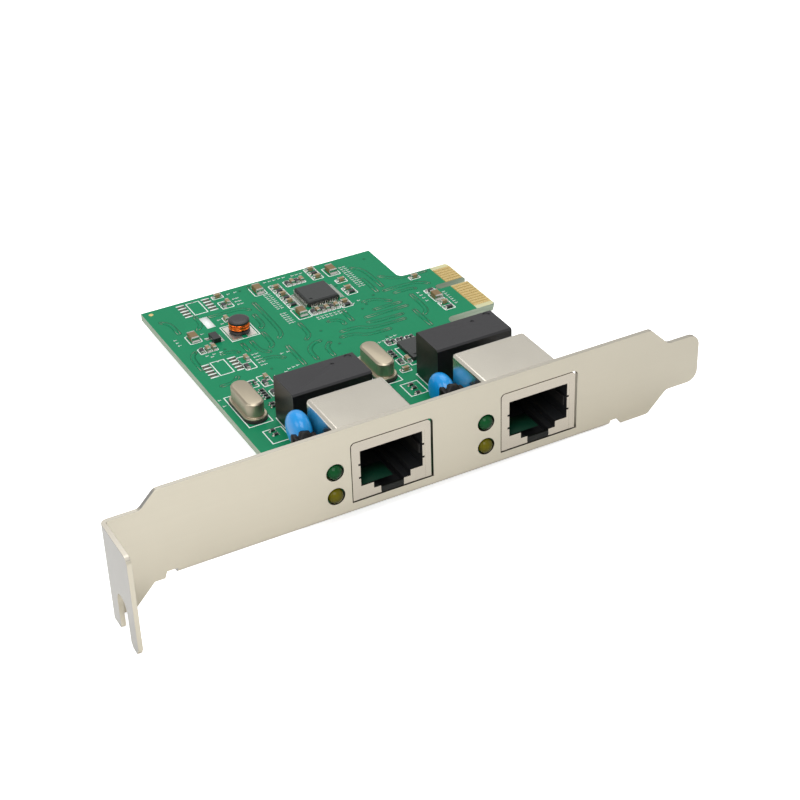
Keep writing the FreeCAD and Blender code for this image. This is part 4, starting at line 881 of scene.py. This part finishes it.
class CARD_OT_board(bpy.types.Operator):
    """Board and contacts, with tracks, plated holes, print, bare pads and solder joints."""

    bl_idname = "card.board"
    bl_label = "Board"

    def execute(self, context):
        mask = board_finish()
        use("circuit_board", mask)
        use("edge_contacts", plain_metal("contact_gold", user_colour("gold"), 0.28))
        self.tracks(mask)
        self.print_marks()
        self.pads()
        self.joints()
        return {"FINISHED"}

    def tracks(self, mask):
        """Tracks with round ends on both faces, and plated holes as rings round a dark disc of
        painted shade.

        A track is a strip in a darker tone with a narrower strip of the mask on top, so that
        its two shoulders show as fine lines.
        """
        base, middle = BOARD_TOP - SINK, (BOARD_TOP + BOARD_UNDER) / 2
        crown_inset, crown_rise, cap_sink = 0.3, 0.008, 0.0005
        ring_radius, ring_width, ring_rise = 0.33, 0.17, 0.035
        well_radius, well_rise = 0.17, 0.03
        width, gauge = user_size("track_width"), user_size("trace_gauge")
        shoulders, crowns, rings, hole_shades = Surface(), Surface(), Surface(), Surface()

        def both_faces(surface, shape):
            surface.add(*shape)
            surface.add(*flipped(shape, middle))

        for row, path in enumerate(TRACKS):
            # Small steps in height keep tracks that meet out of each other's plane.
            high = BOARD_TOP + gauge + 0.001 * (row % 5)
            for surface, wide, level in (
                (shoulders, width, high), (crowns, width - crown_inset, high + crown_rise),
            ):
                both_faces(surface, ribbon(curved(path), wide, base, level))
                for x, y in (path[0], path[-1]):
                    cap = slab(ring_outline(x, y, wide / 2), base, level - cap_sink)
                    both_faces(surface, cap)
        ends = [end for path in TRACKS for end in (path[0], path[-1])]
        for x, y in ends[::3] + list(VIAS):
            ring, well = ring_outline(x, y, ring_radius, 12), ring_outline(x, y, well_radius, 12)
            both_faces(rings, band(ring, ring_width, base, BOARD_TOP + ring_rise))
            both_faces(hole_shades, slab(well, base, BOARD_TOP + well_rise))
        dark = moulded("track_mask", user_colour("trace"), 0.5, 0.02, shine=0.14)
        shoulders.piece("board_tracks", dark, "solder_mask", smooth=False)
        crowns.piece("track_crowns", mask, "solder_mask", smooth=False)
        rings.piece("via_rings", dark, "solder_mask")
        # Painted shade: a dark disc stands for the shade inside each plated hole.
        hole_shades.piece("via_wells", moulded("via_well", paint(18, 84, 58), 0.6), "solder_mask")

    def print_marks(self):
        """White print: cells with a rung between neighbouring chips, outlines and strokes."""
        line, low = user_size("print_width"), BOARD_TOP - SINK
        high = BOARD_TOP + user_size("print_gauge")
        ink = Surface()

        def block(left, right, front, back):
            ink.add(*slab(rectangle(left, right, front, back), low, high))

        chips = [
            (a + b) / 2
            for node in ("chip_resistors", "chip_capacitors") for a, b in solids(node)
        ]
        rung, corner = 0.1, 0.3
        for left, right, front, back in CELLS:
            ink.add(*band(rounded(left, right, front, back, corner, 3), line, low, high))
            inside = np.array([
                p[:2] for p in chips if left < p[0] < right and front < p[1] < back
            ])
            if len(inside) < 2:
                continue
            along = 0 if right - left > back - front else 1
            places = np.sort(inside[:, along])
            for place in (places[1:] + places[:-1]) / 2:
                if along == 0:
                    block(place - rung, place + rung, front, back)
                else:
                    block(left, right, place - rung, place + rung)
        for outline in OUTLINES:
            ink.add(*band(rectangle(*outline), line, low, high))
        block(*PATCH)
        for start, end, count in STROKES:
            for share in np.linspace(0, 1, count):
                # A short bar with a crossbar near its left end.
                x = start[0] + (end[0] - start[0]) * share
                y = start[1] + (end[1] - start[1]) * share
                block(x - 0.36, x + 0.36, y - 0.08, y + 0.08)
                block(x - 0.3, x - 0.14, y - 0.26, y + 0.26)
        dot, lift, reach, half, first = 0.22, 4.5, 0.9, 0.2, -0.63
        for left, right, front in UNFITTED:
            # A dot over each package, and bars between its pads.
            middle = (left + right) / 2
            ink.add(*slab(ring_outline(middle, front + lift, dot, 12), low, high))
            for side in (left, right):
                for row in range(5):
                    y = front + first + PITCH * row
                    block(side - reach, side + reach, y - half, y + half)
        finish = moulded("print_ink", user_colour("print_white"), 0.6, 0.1)
        ink.piece("board_print", finish, "solder_mask", smooth=False)

    def pads(self):
        """Tinned pads: unfitted packages, under the inductor, and the gilt corner marks."""
        low = BOARD_TOP - SINK
        tin, bare, gilt = Surface(), Surface(), Surface()
        reach, half, bare_rise = 0.75, 0.36, 0.02
        for left, right, front in UNFITTED:
            for side in (left, right):
                for row in range(4):
                    y = front + PITCH * row
                    pad = rectangle(side - reach, side + reach, y - half, y + half)
                    bare.add(*slab(pad, low, BOARD_TOP + bare_rise))
        for outline in INDUCTOR_PADS:
            tin.add(*slab(rectangle(*outline), low, BOARD_TOP + 0.07, 0.05))
        radius = 0.5
        for x, y in CORNER_MARKS:
            gilt.add(*slab(ring_outline(x, y, radius, 24), low, BOARD_TOP + 0.04, 0.03))
        tin.piece("bare_pads", plain_metal("pad_tin", paint(214, 212, 204), 0.42), "tinned_lead")
        dull = plain_metal("dull_tin", paint(104, 104, 92), 0.5)
        bare.piece("unfitted_pads", dull, "tinned_lead", smooth=False)
        gold = plain_metal("mark_gold", user_colour("gold"), 0.35)
        gilt.piece("corner_marks", gold, "contact_gold")

    def joints(self):
        """Solder cones under the board, where the leads of the tall parts come through."""
        cone, faces = lathe([
            (0.22, -0.95), (0.27, -0.9), (0.33, -0.6), (0.5, -0.3), (0.78, -0.08), (0.92, 0.0),
            (0.92, 0.01),
        ], 14)
        tin = Surface()
        crystal_half_pitch, insert_margin = 2.44, 3.2
        for node, scale in (
            ("transformer_pins_1", 0.55), ("transformer_pins_2", 0.55), ("led_leads_1", 0.8),
            ("led_leads_2", 0.8), ("disc_capacitor_leads_1", 0.8), ("disc_capacitor_leads_2", 0.8),
        ):
            for low, high in solids(node):
                x, y = (low + high)[:2] / 2
                if node.startswith("led"):
                    y = high[1] - LEAD_WIRE / 2
                tin.add(*moved((cone * scale, faces), x, y, BOARD_UNDER))
        for number in (1, 2):
            low, high = card_box("crystal_can_%d" % number)
            middle = (low + high) / 2
            for side in (-crystal_half_pitch, crystal_half_pitch):
                tin.add(*moved((cone * 0.85, faces), middle[0], middle[1] + side, BOARD_UNDER))
            low, high = card_box("jack_insert_%d" % number)
            middle = (low + high) / 2
            for i in range(8):
                x = middle[0] + (i - 3.5) * PITCH
                y = high[1] - insert_margin - 2 * PITCH * (i % 2)
                tin.add(*moved((cone * 0.8, faces), x, y, BOARD_UNDER))
        solder = plain_metal("solder", paint(204, 204, 202), 0.28)
        tin.piece("solder_joints", solder, "tinned_lead")


class CARD_OT_jacks(bpy.types.Operator):
    """Shields, front plates, springs, keyways, floor windows, inserts and wires of both jacks."""

    bl_idname = "card.jacks"
    bl_label = "Jacks"

    def execute(self, context):
        # Painted shade: the shield's faces that look out of the bracket take the darker front colour.
        shield = sheet_finish(
            "tin_shield", user_colour("shield"), 0.22, 0.5, front=user_colour("jack_front"))
        black = moulded("jack_plastic", paint(26, 27, 29), 0.5)
        gilt = plain_metal("wire_gold", paint(214, 178, 110), 0.25)
        for number in (1, 2):
            shell = softened("jack_shell_%d" % number, 0.03)
            dress(shell, shield, ["jack_shell_%d" % number])
            use("jack_insert_%d" % number, black)
            use("jack_contacts_%d" % number, gilt)
        self.springs()
        self.front_plates(shield)
        self.keyways()
        self.floor_windows()
        return {"FINISHED"}

    def springs(self):
        """A spring leaf on each side of a mouth, bent out of the shield."""
        inner, outer, front, back = 5.86, 6.16, 0.9, 6.0
        foot, tip, bevel = 7.62, 9.58, 0.06
        springs = Surface()
        for port in PORTS:
            for left, right in ((-outer, -inner), (inner, outer)):
                leaf = rectangle(port + left, port + right, front, back)
                springs.add(*slab(leaf, foot, tip, bevel, True))
        dark = moulded("spring_shade", paint(34, 33, 32), 0.4)
        springs.piece("jack_springs", dark, "jack_shield")

    def front_plates(self, shield):
        """Plate round each mouth: the shell's outline with cut upper corners, less the mouth."""
        mouth, sill, lintel = 6.72, 2.62, 12.9
        corner, shoulder, top = 0.5, 14.25, 14.74
        margin, front, back = 0.02, 0.12, 0.4
        plates = Surface()
        for number in (1, 2):
            low, high = card_box("jack_shell_%d" % number)
            middle = (low[0] + high[0]) / 2
            left, right = low[0] + margin, high[0] - margin
            plate = [
                (left, sill), (middle - mouth, sill), (middle - mouth, lintel),
                (middle + mouth, lintel), (middle + mouth, sill), (right, sill),
                (right, shoulder), (right - corner, top), (left + corner, top), (left, shoulder),
            ]
            plates.add(*upright(slab(plate, front, back)))
        plates.piece("jack_faces", shield, "jack_shield")

    def keyways(self):
        """Step in the lower lip of each mouth, where the plug's latch runs."""
        half, low, high = 2.32, 2.5, 3.72
        front, back, bevel = 0.1, 0.7, 0.1
        keys = Surface()
        for port in PORTS:
            step = rectangle(port - half, port + half, low, high)
            keys.add(*upright(slab(step, front, back, bevel, True)))
        # Painted shade: the step is a darker, greenish copy of the jack plastic, for the shade low in
        # the mouth.
        dark = moulded("keyway_plastic", paint(10, 13, 8), 0.4, shine=0.3)
        keys.piece("jack_keyways", dark, "jack_plastic")

    def floor_windows(self):
        """Board seen in shade through the opening in each jack's floor."""
        left, right, front, back = -5.7, 0.3, 0.5, 5.4
        under, level = 5.29, 5.33
        windows = Surface()
        for port in PORTS:
            window = rectangle(port + left, port + right, front, back)
            windows.add(*slab(window, under, level))
        dim = moulded("mask_in_shade", paint(6, 50, 34), 0.6, 0.05, shine=0.1)
        windows.piece("jack_floor_windows", dim, "solder_mask", smooth=False)


class CARD_OT_tall_parts(bpy.types.Operator):
    """Transformers, crystals with their bases, and the leads of lamps and discs."""

    bl_idname = "card.tall_parts"
    bl_label = "Transformers and crystals"

    def execute(self, context):
        epoxy = cast_case(user_colour("transformer"))
        tin = plain_metal("tinned_wire", paint(206, 204, 198), 0.3)
        can = sheet_finish("crystal_can", user_colour("crystal"), 0.42, grain=0.5)
        base = moulded("crystal_base", paint(28, 27, 27), 0.5)
        for number in (1, 2):
            for node, soft, finish, slot in (
                ("transformer_%d" % number, 0.12, epoxy, "transformer_case"),
                ("crystal_can_%d" % number, 0.07, can, "crystal_metal"),
            ):
                dress(softened(node, soft), finish, [node])
            use("transformer_pins_%d" % number, tin)
            use("crystal_base_%d" % number, base)
            use("disc_capacitor_leads_%d" % number, tin)
            use("led_leads_%d" % number, tin)
        return {"FINISHED"}


class CARD_OT_lamps(bpy.types.Operator):
    """Signal lamps, their lead sleeves and spacers, and the blue disc capacitors."""

    bl_idname = "card.lamps"
    bl_label = "Lamps and discs"

    def execute(self, context):
        for tint in ("green", "yellow"):
            lens = lens_finish(tint + "_lens", user_colour(tint + "_lens"))
            for number in (1, 2):
                node = "led_%s_%d" % (tint, number)
                self.lamp(node).piece(node + "_finish", lens, tint + "_lens", [node])
        self.sleeves()
        self.spacers()
        blue = moulded(
            "disc_coating", user_colour("disc"), 0.35, 0.03, coat=0.5, scale=900.0, shine=0.3)
        for number in (1, 2):
            node = "disc_capacitor_%d" % number
            self.disc(number).piece(node + "_finish", blue, "disc_coating", [node])
        return {"FINISHED"}

    def lamp(self, node):
        """Turned lamp: a half-sphere nose on a barrel with a rear flange, on its axis along Y."""
        low, high = card_box(node)
        middle, length = (low + high) / 2, high[1] - low[1]
        flange, barrel, step = (high[0] - low[0]) / 2, 1.5, 0.1
        radius = min(barrel, flange - step)
        flange_length, edge = 0.9, 0.08
        turn = np.linspace(0.04, math.pi / 2, 12)
        nose = np.column_stack([radius * np.sin(turn), radius * (1 - np.cos(turn))])
        rear = [
            (radius, length - 1.05), (flange - edge, length - 1.0),
            (flange, length - flange_length), (flange, length - edge), (flange - edge, length),
        ]
        points, faces = lathe(np.vstack([nose, rear]), 40, "y")
        return Surface().add(points + [middle[0], low[1], middle[2]], faces)

    def sleeves(self):
        """Black sleeves along the upper lamps' leads, from the lamp to past the bend."""
        upper, radius = 8.0, 0.62
        sleeves = Surface()
        for number in (1, 2):
            for low, high in solids("led_leads_%d" % number):
                if high[2] < upper:
                    continue
                x, y, z = (low[0] + high[0]) / 2, high[1] - LEAD_WIRE / 2, high[2] - LEAD_WIRE / 2
                path = [(x, low[1] + 0.1, z), (x, y - 1.0, z), (x, y - 0.3, z - 0.3),
                        (x, y, z - 1.0), (x, y, z - 3.4)]
                sleeves.add(*tube(path, radius, 12))
        sleeves.piece("lead_sleeves", moulded("sleeve", paint(34, 34, 36), 0.5), "jack_plastic")

    def spacers(self):
        """Black comb behind each pair of lamps: a wall whose top rises and falls in teeth."""
        start, end, front, back = -13.5, -8.8, 11.9, 13.1
        spacers = Surface()
        for port in PORTS:
            left, right = port + start, port + end
            teeth = [
                (left, BOARD_TOP), (right, BOARD_TOP), (right, 10.3), (right - 0.5, 10.5),
                (right - 0.9, 9.6), (right - 1.1, 11.0), (right - 2.6, 11.4), (right - 3.0, 11.2),
                (right - 3.3, 10.0), (right - 3.6, 11.0), (right - 4.5, 11.3), (left, 10.9),
            ]
            spacers.add(*upright(slab(teeth, front, back)))
        black = moulded("spacer_plastic", paint(9, 8, 9), 0.45, shine=0.25)
        spacers.piece("lead_spacers", black, "jack_plastic", smooth=False)

    def disc(self, number):
        """Dipped disc, thinner towards its rim, with a skirt down each lead.

        Half thickness = t (1 - (r / R)^3)^(1 / 2), on the node's box made thicker and set a
        little back and down. Each skirt is a cone whose radius falls from the disc to its foot
        as a power of the way left.
        """
        shift, swell = [0.6, 0.0, 0.6], [1.58, 1.0, 1.0]
        low, high = card_box("disc_capacitor_%d" % number)
        middle = (low + high) / 2 - shift
        thick, radius, reach = (high - low) / 2 * swell
        share = np.sin(np.linspace(0.03, 1, 16) * math.pi / 2)
        near = np.column_stack([share * radius, -thick * (1 - share ** 3.0) ** 0.5])
        profile = np.vstack([near[:-1], [[radius, 0.0]], (near * [1, -1])[:-1][::-1]])
        points, faces = lathe(profile, 56, "x")
        surface = Surface().add(points + middle, faces)
        rise = np.linspace(0, 1, 7)
        foot, top = max(low[2] - 1.1, BOARD_TOP + 0.1), middle[2] - reach * 0.35
        slim, swollen = 0.34, 0.72
        for a, b in solids("disc_capacitor_leads_%d" % number):
            x, y = (a + b)[:2] / 2
            path = np.column_stack([np.full(7, x), np.full(7, y), top + (foot - top) * rise])
            surface.add(*tube(path, slim + swollen * (1 - rise) ** 1.6, 14))
        return surface


class CARD_OT_chips(bpy.types.Operator):
    """Chips with their leads and pads, the inductor, and the chip parts with their solder."""

    bl_idname = "card.chips"
    bl_label = "Chips"

    def execute(self, context):
        epoxy = moulded("chip_epoxy", user_colour("chip"), 0.5)
        tin = plain_metal("chip_leads", paint(212, 210, 204), 0.26)
        for node in ("bridge_chip", "controller_chip_1", "controller_chip_2"):
            dress(softened(node, 0.05), epoxy, [node])
        black = moulded("regulator_epoxy", paint(26, 27, 28), 0.4)
        dress(softened("regulator", 0.05), black, ["regulator"])
        use("bridge_chip_leads", tin)
        use("regulator_leads", tin)
        self.feet(tin)
        self.inductor()
        ceramic = moulded("chip_ceramic", user_colour("ceramic"), 0.4)
        large = moulded("large_ceramic", paint(122, 98, 58), 0.4)
        film = moulded("resistor_film", paint(40, 42, 44), 0.35)
        small_height = 0.45
        small = [
            (np.array([x - a, y - b, BOARD_TOP]),
             np.array([x + a, y + b, BOARD_TOP + small_height]))
            for x, y, a, b in SMALL_PARTS
        ]
        for name, boxes, body, slot, end, nodes in (
            ("small_parts", small, film, "resistor_film", 0.3, []),
            ("chip_resistors", None, film, "resistor_film", 0.24, ["chip_resistors"]),
            ("chip_capacitors", None, ceramic, "chip_ceramic", 0.36, ["chip_capacitors"]),
            ("large_chip_capacitors", None, large, "chip_ceramic", 0.3,
             ["large_chip_capacitors"]),
        ):
            bodies, ends, solder = chip_parts(boxes or solids(name), end)
            bodies.piece(name + "_bodies", body, slot, nodes)
            ends.piece(name + "_ends", tin, "tinned_lead")
            solder.piece(name + "_solder", tin, "tinned_lead")
        return {"FINISHED"}

    def feet(self, tin):
        """Pads under the leads of the bridge chip and the regulator."""
        pads = Surface()
        low, high = card_box("bridge_chip")
        middle = (low + high) / 2
        leads, pitch, half, near, far = 16, 0.4, 0.12, 3.95, 5.05
        for side in range(4):
            for i in range(leads):
                x = (i - (leads - 1) / 2) * pitch
                shape = slab(rectangle(x - half, x + half, near, far), 0, 0.07, 0.05)
                pads.add(*moved(shape, middle[0], middle[1], BOARD_TOP - 0.01, side * 90))
        for low, high in solids("regulator_leads"):
            spot = rectangle(low[0] - 0.2, high[0] + 0.2, low[1] - 0.15, high[1] + 0.15)
            pads.add(*slab(spot, BOARD_TOP - 0.01, BOARD_TOP + 0.06, 0.05))
        pads.piece("lead_pads", tin, "tinned_lead")

    def inductor(self):
        """Ferrite drum with chamfered flanges, and wire wound round its core in two helices.

        Winding: a radius a little inside the flange, with a small ripple, rising evenly from
        one flange to the other.
        """
        low, high = card_box("inductor_core")
        middle = (low + high) / 2
        reach, tall = (high[0] - low[0]) / 2 - user_size("drum_margin"), high[2] - low[2]
        core = 1.25
        drum = lathe([
            (reach - 0.35, 0.0), (reach, 0.2), (reach, 0.62), (reach - 0.2, 0.76), (core, 0.78),
            (core, tall - 0.78), (reach - 0.1, tall - 0.76), (reach, tall - 0.68),
            (reach, tall - 0.3), (reach - 0.42, tall - 0.03), (reach - 0.6, tall),
        ], 40)
        ferrite = moulded("ferrite", paint(44, 40, 42), 0.36, 0.6, scale=2200.0)
        Surface().add(*moved(drum, middle[0], middle[1], low[2])).piece(
            "inductor_drum", ferrite, "ferrite", ["inductor_core"])
        wire = Surface()
        turns, ripple, gap, radius = 3.6, 0.05, 0.98, 0.2
        share = np.linspace(0, 1, 150)
        for layer, bend in ((0, reach - 0.2), (1, reach - 0.36)):
            angle = share * turns * 2 * math.pi + layer * 2.1
            r = bend + ripple * np.sin(angle * 2.7 + layer)
            z = low[2] + gap + share * (tall - 2 * gap) + ripple * np.sin(angle * 1.9)
            x, y = middle[0] + r * np.cos(angle), middle[1] + r * np.sin(angle)
            wire.add(*tube(np.column_stack([x, y, z]), radius, 8))
        copper = plain_metal("copper_wire", user_colour("copper"), 0.22)
        wire.piece("inductor_wire", copper, "copper_wire", ["inductor_winding"])


class CARD_OT_stage(bpy.types.Operator):
    """Floor under the card's three resting points, soft lamps, world and camera."""

    bl_idname = "card.stage"
    bl_label = "Stage"

    # The camera's place round its target, in the card frame's millimetres, and its lens.
    AZIMUTH = math.radians(-27.538)
    ELEVATION = math.radians(32.791)
    ROLL = math.radians(-1.896)
    TARGET = (70.631, 28.547, 0.0)
    DISTANCE = 352.36
    LENS = 81.59
    # Strength of the floor's own glow to the camera, and of the world in reflections and
    # elsewhere.
    FLOOR_GLOW = 0.75
    MIRRORED, FILL = 0.45, 0.38

    def execute(self, context):
        self.floor()
        self.lamps()
        self.world()
        self.camera()
        return {"FINISHED"}

    def floor(self):
        """A plane through the prong's tip, the bracket's far lower end and the edge tab."""
        prong = np.array([SHEET_GAUGE / 2, -9.7, BRACKET[0].z / MM - ORIGIN[2]])
        heel = np.array([108.0, SHEET_GAUGE / 2, 0.0])
        tab = np.array([103.65, 67.6, BOARD_UNDER])
        clearance, reach = 0.02, 6000.0
        normal = np.cross(heel - prong, tab - prong)
        normal /= np.linalg.norm(normal)
        side = np.cross([0, 1.0, 0], normal)
        side /= np.linalg.norm(side)
        ahead = np.cross(normal, side)
        corners = [
            prong - normal * clearance + reach * (i * side + j * ahead)
            for i, j in ((-1, -1), (1, -1), (1, 1), (-1, 1))
        ]
        mesh = bpy.data.meshes.new("floor")
        mesh.from_pydata([tuple((p + ORIGIN) * MM) for p in corners], [], [(0, 1, 2, 3)])
        mesh.update()
        floor = bpy.data.objects.new("floor", mesh)
        bpy.context.scene.collection.objects.link(floor)
        floor.data.materials.append(self.paper())

    def paper(self):
        """White paper that glows a little to the camera and is clear from below."""
        paper = Finish(
            "floor_paper", Base_Color=(0.9, 0.9, 0.9), Roughness=0.9, Specular_IOR_Level=0.1)
        seen = paper.node("ShaderNodeLightPath", {}, output="Is Camera Ray")
        glow = paper.node("ShaderNodeEmission", {}, {"Strength": seen * self.FLOOR_GLOW})
        lit = Value(paper, paper.shader.outputs[0])
        both = paper.node("ShaderNodeAddShader", {}, lit, glow)
        clear = paper.node("ShaderNodeBsdfTransparent", {})
        behind = paper.node("ShaderNodeNewGeometry", {}, output="Backfacing")
        shown = paper.node("ShaderNodeMixShader", {}, behind, both, clear)
        paper.feed(paper.tree.nodes["Material Output"].inputs["Surface"], shown)
        return paper.material

    def lamps(self):
        """A broad soft key from above the camera's left, and weaker fills, all on the origin."""
        for name, place, width, power in (
            ("key", (-0.30, -0.45, 0.75), 0.6, 4.2),
            ("top", (0.15, 0.35, 0.85), 0.8, 3.6),
            ("left", (-0.85, 0.05, 0.4), 0.4, 1.3),
            ("right", (0.75, -0.35, 0.35), 0.5, 0.5),
        ):
            light = bpy.data.lights.new(name, "AREA")
            light.shape = "SQUARE"
            light.size = width
            light.energy = power
            lamp = bpy.data.objects.new(name, light)
            lamp.location = place
            lamp.rotation_euler = (-Vector(place)).to_track_quat("-Z", "Y").to_euler()
            bpy.context.scene.collection.objects.link(lamp)

    def world(self):
        """White to the camera, dimmer in reflections, and a plain soft fill otherwise."""
        world = bpy.data.worlds.new("studio")
        bpy.context.scene.world = world
        world.use_nodes = True
        sky = Nodes(world.node_tree)
        camera, glass, mirror = (
            sky.node("ShaderNodeLightPath", {}, output="Is %s Ray" % kind)
            for kind in ("Camera", "Transmission", "Glossy")
        )
        white = camera.math("MAXIMUM", glass).math("MAXIMUM", mirror * self.MIRRORED)
        back = sky.tree.nodes["Background"]
        sky.feed(back.inputs["Color"], (1.0, 1.0, 1.0))
        sky.feed(back.inputs["Strength"], white * (1.0 - self.FILL) + self.FILL)

    def camera(self):
        """The camera looks at the target from its azimuth and elevation, rolled a little."""
        az, el, roll = self.AZIMUTH, self.ELEVATION, self.ROLL
        back = Vector((math.sin(az) * math.cos(el), -math.cos(az) * math.cos(el), math.sin(el)))
        right = (-back).cross(Vector((0, 0, 1))).normalized()
        up = right.cross(-back)
        c, s = math.cos(roll), math.sin(roll)
        x, y = c * right + s * up, -s * right + c * up
        place = (Vector(self.TARGET) + Vector(ORIGIN)) * MM + back * self.DISTANCE * MM
        data = bpy.data.cameras.new("camera")
        data.lens = self.LENS
        data.sensor_width = 36.0
        data.clip_start = 0.01
        data.clip_end = 50.0
        camera = bpy.data.objects.new("camera", data)
        camera.matrix_world = Matrix((
            (x.x, y.x, back.x, place.x), (x.y, y.y, back.y, place.y),
            (x.z, y.z, back.z, place.z), (0, 0, 0, 1),
        ))
        bpy.context.scene.collection.objects.link(camera)
        bpy.context.scene.camera = camera


class CARD_PT_panel(bpy.types.Panel):
    """Lists the card's operators, colours and sizes."""

    bl_idname = "CARD_PT_panel"
    bl_label = "Network card"
    bl_space_type = "VIEW_3D"
    bl_region_type = "UI"
    bl_category = "Card"

    def draw(self, context):
        for operator in OPERATORS:
            self.layout.operator(operator.bl_idname)
        for group in (context.scene.card_colours, context.scene.card_sizes):
            for name in group.__annotations__:
                self.layout.prop(group, name)


OPERATORS = (
    CARD_OT_bracket,
    CARD_OT_board,
    CARD_OT_jacks,
    CARD_OT_tall_parts,
    CARD_OT_lamps,
    CARD_OT_chips,
    CARD_OT_stage,
)
CLASSES = (CardColours, CardSizes) + OPERATORS + (CARD_PT_panel,)


def register():
    """Add the classes and hang their settings on the scene."""
    for each in CLASSES:
        bpy.utils.register_class(each)
    bpy.types.Scene.card_colours = bpy.props.PointerProperty(type=CardColours)
    bpy.types.Scene.card_sizes = bpy.props.PointerProperty(type=CardSizes)


def unregister():
    """Take away what register added."""
    del bpy.types.Scene.card_sizes
    del bpy.types.Scene.card_colours
    for each in reversed(CLASSES):
        bpy.utils.unregister_class(each)


def main():
    """Build the dressed card."""
    register()
    scene = bpy.context.scene
    scene.view_settings.view_transform = "Standard"
    for operator in OPERATORS:
        getattr(bpy.ops.card, operator.bl_idname.removeprefix("card."))()
    bpy.context.view_layer.update()


if __name__ == "__main__":
    main()
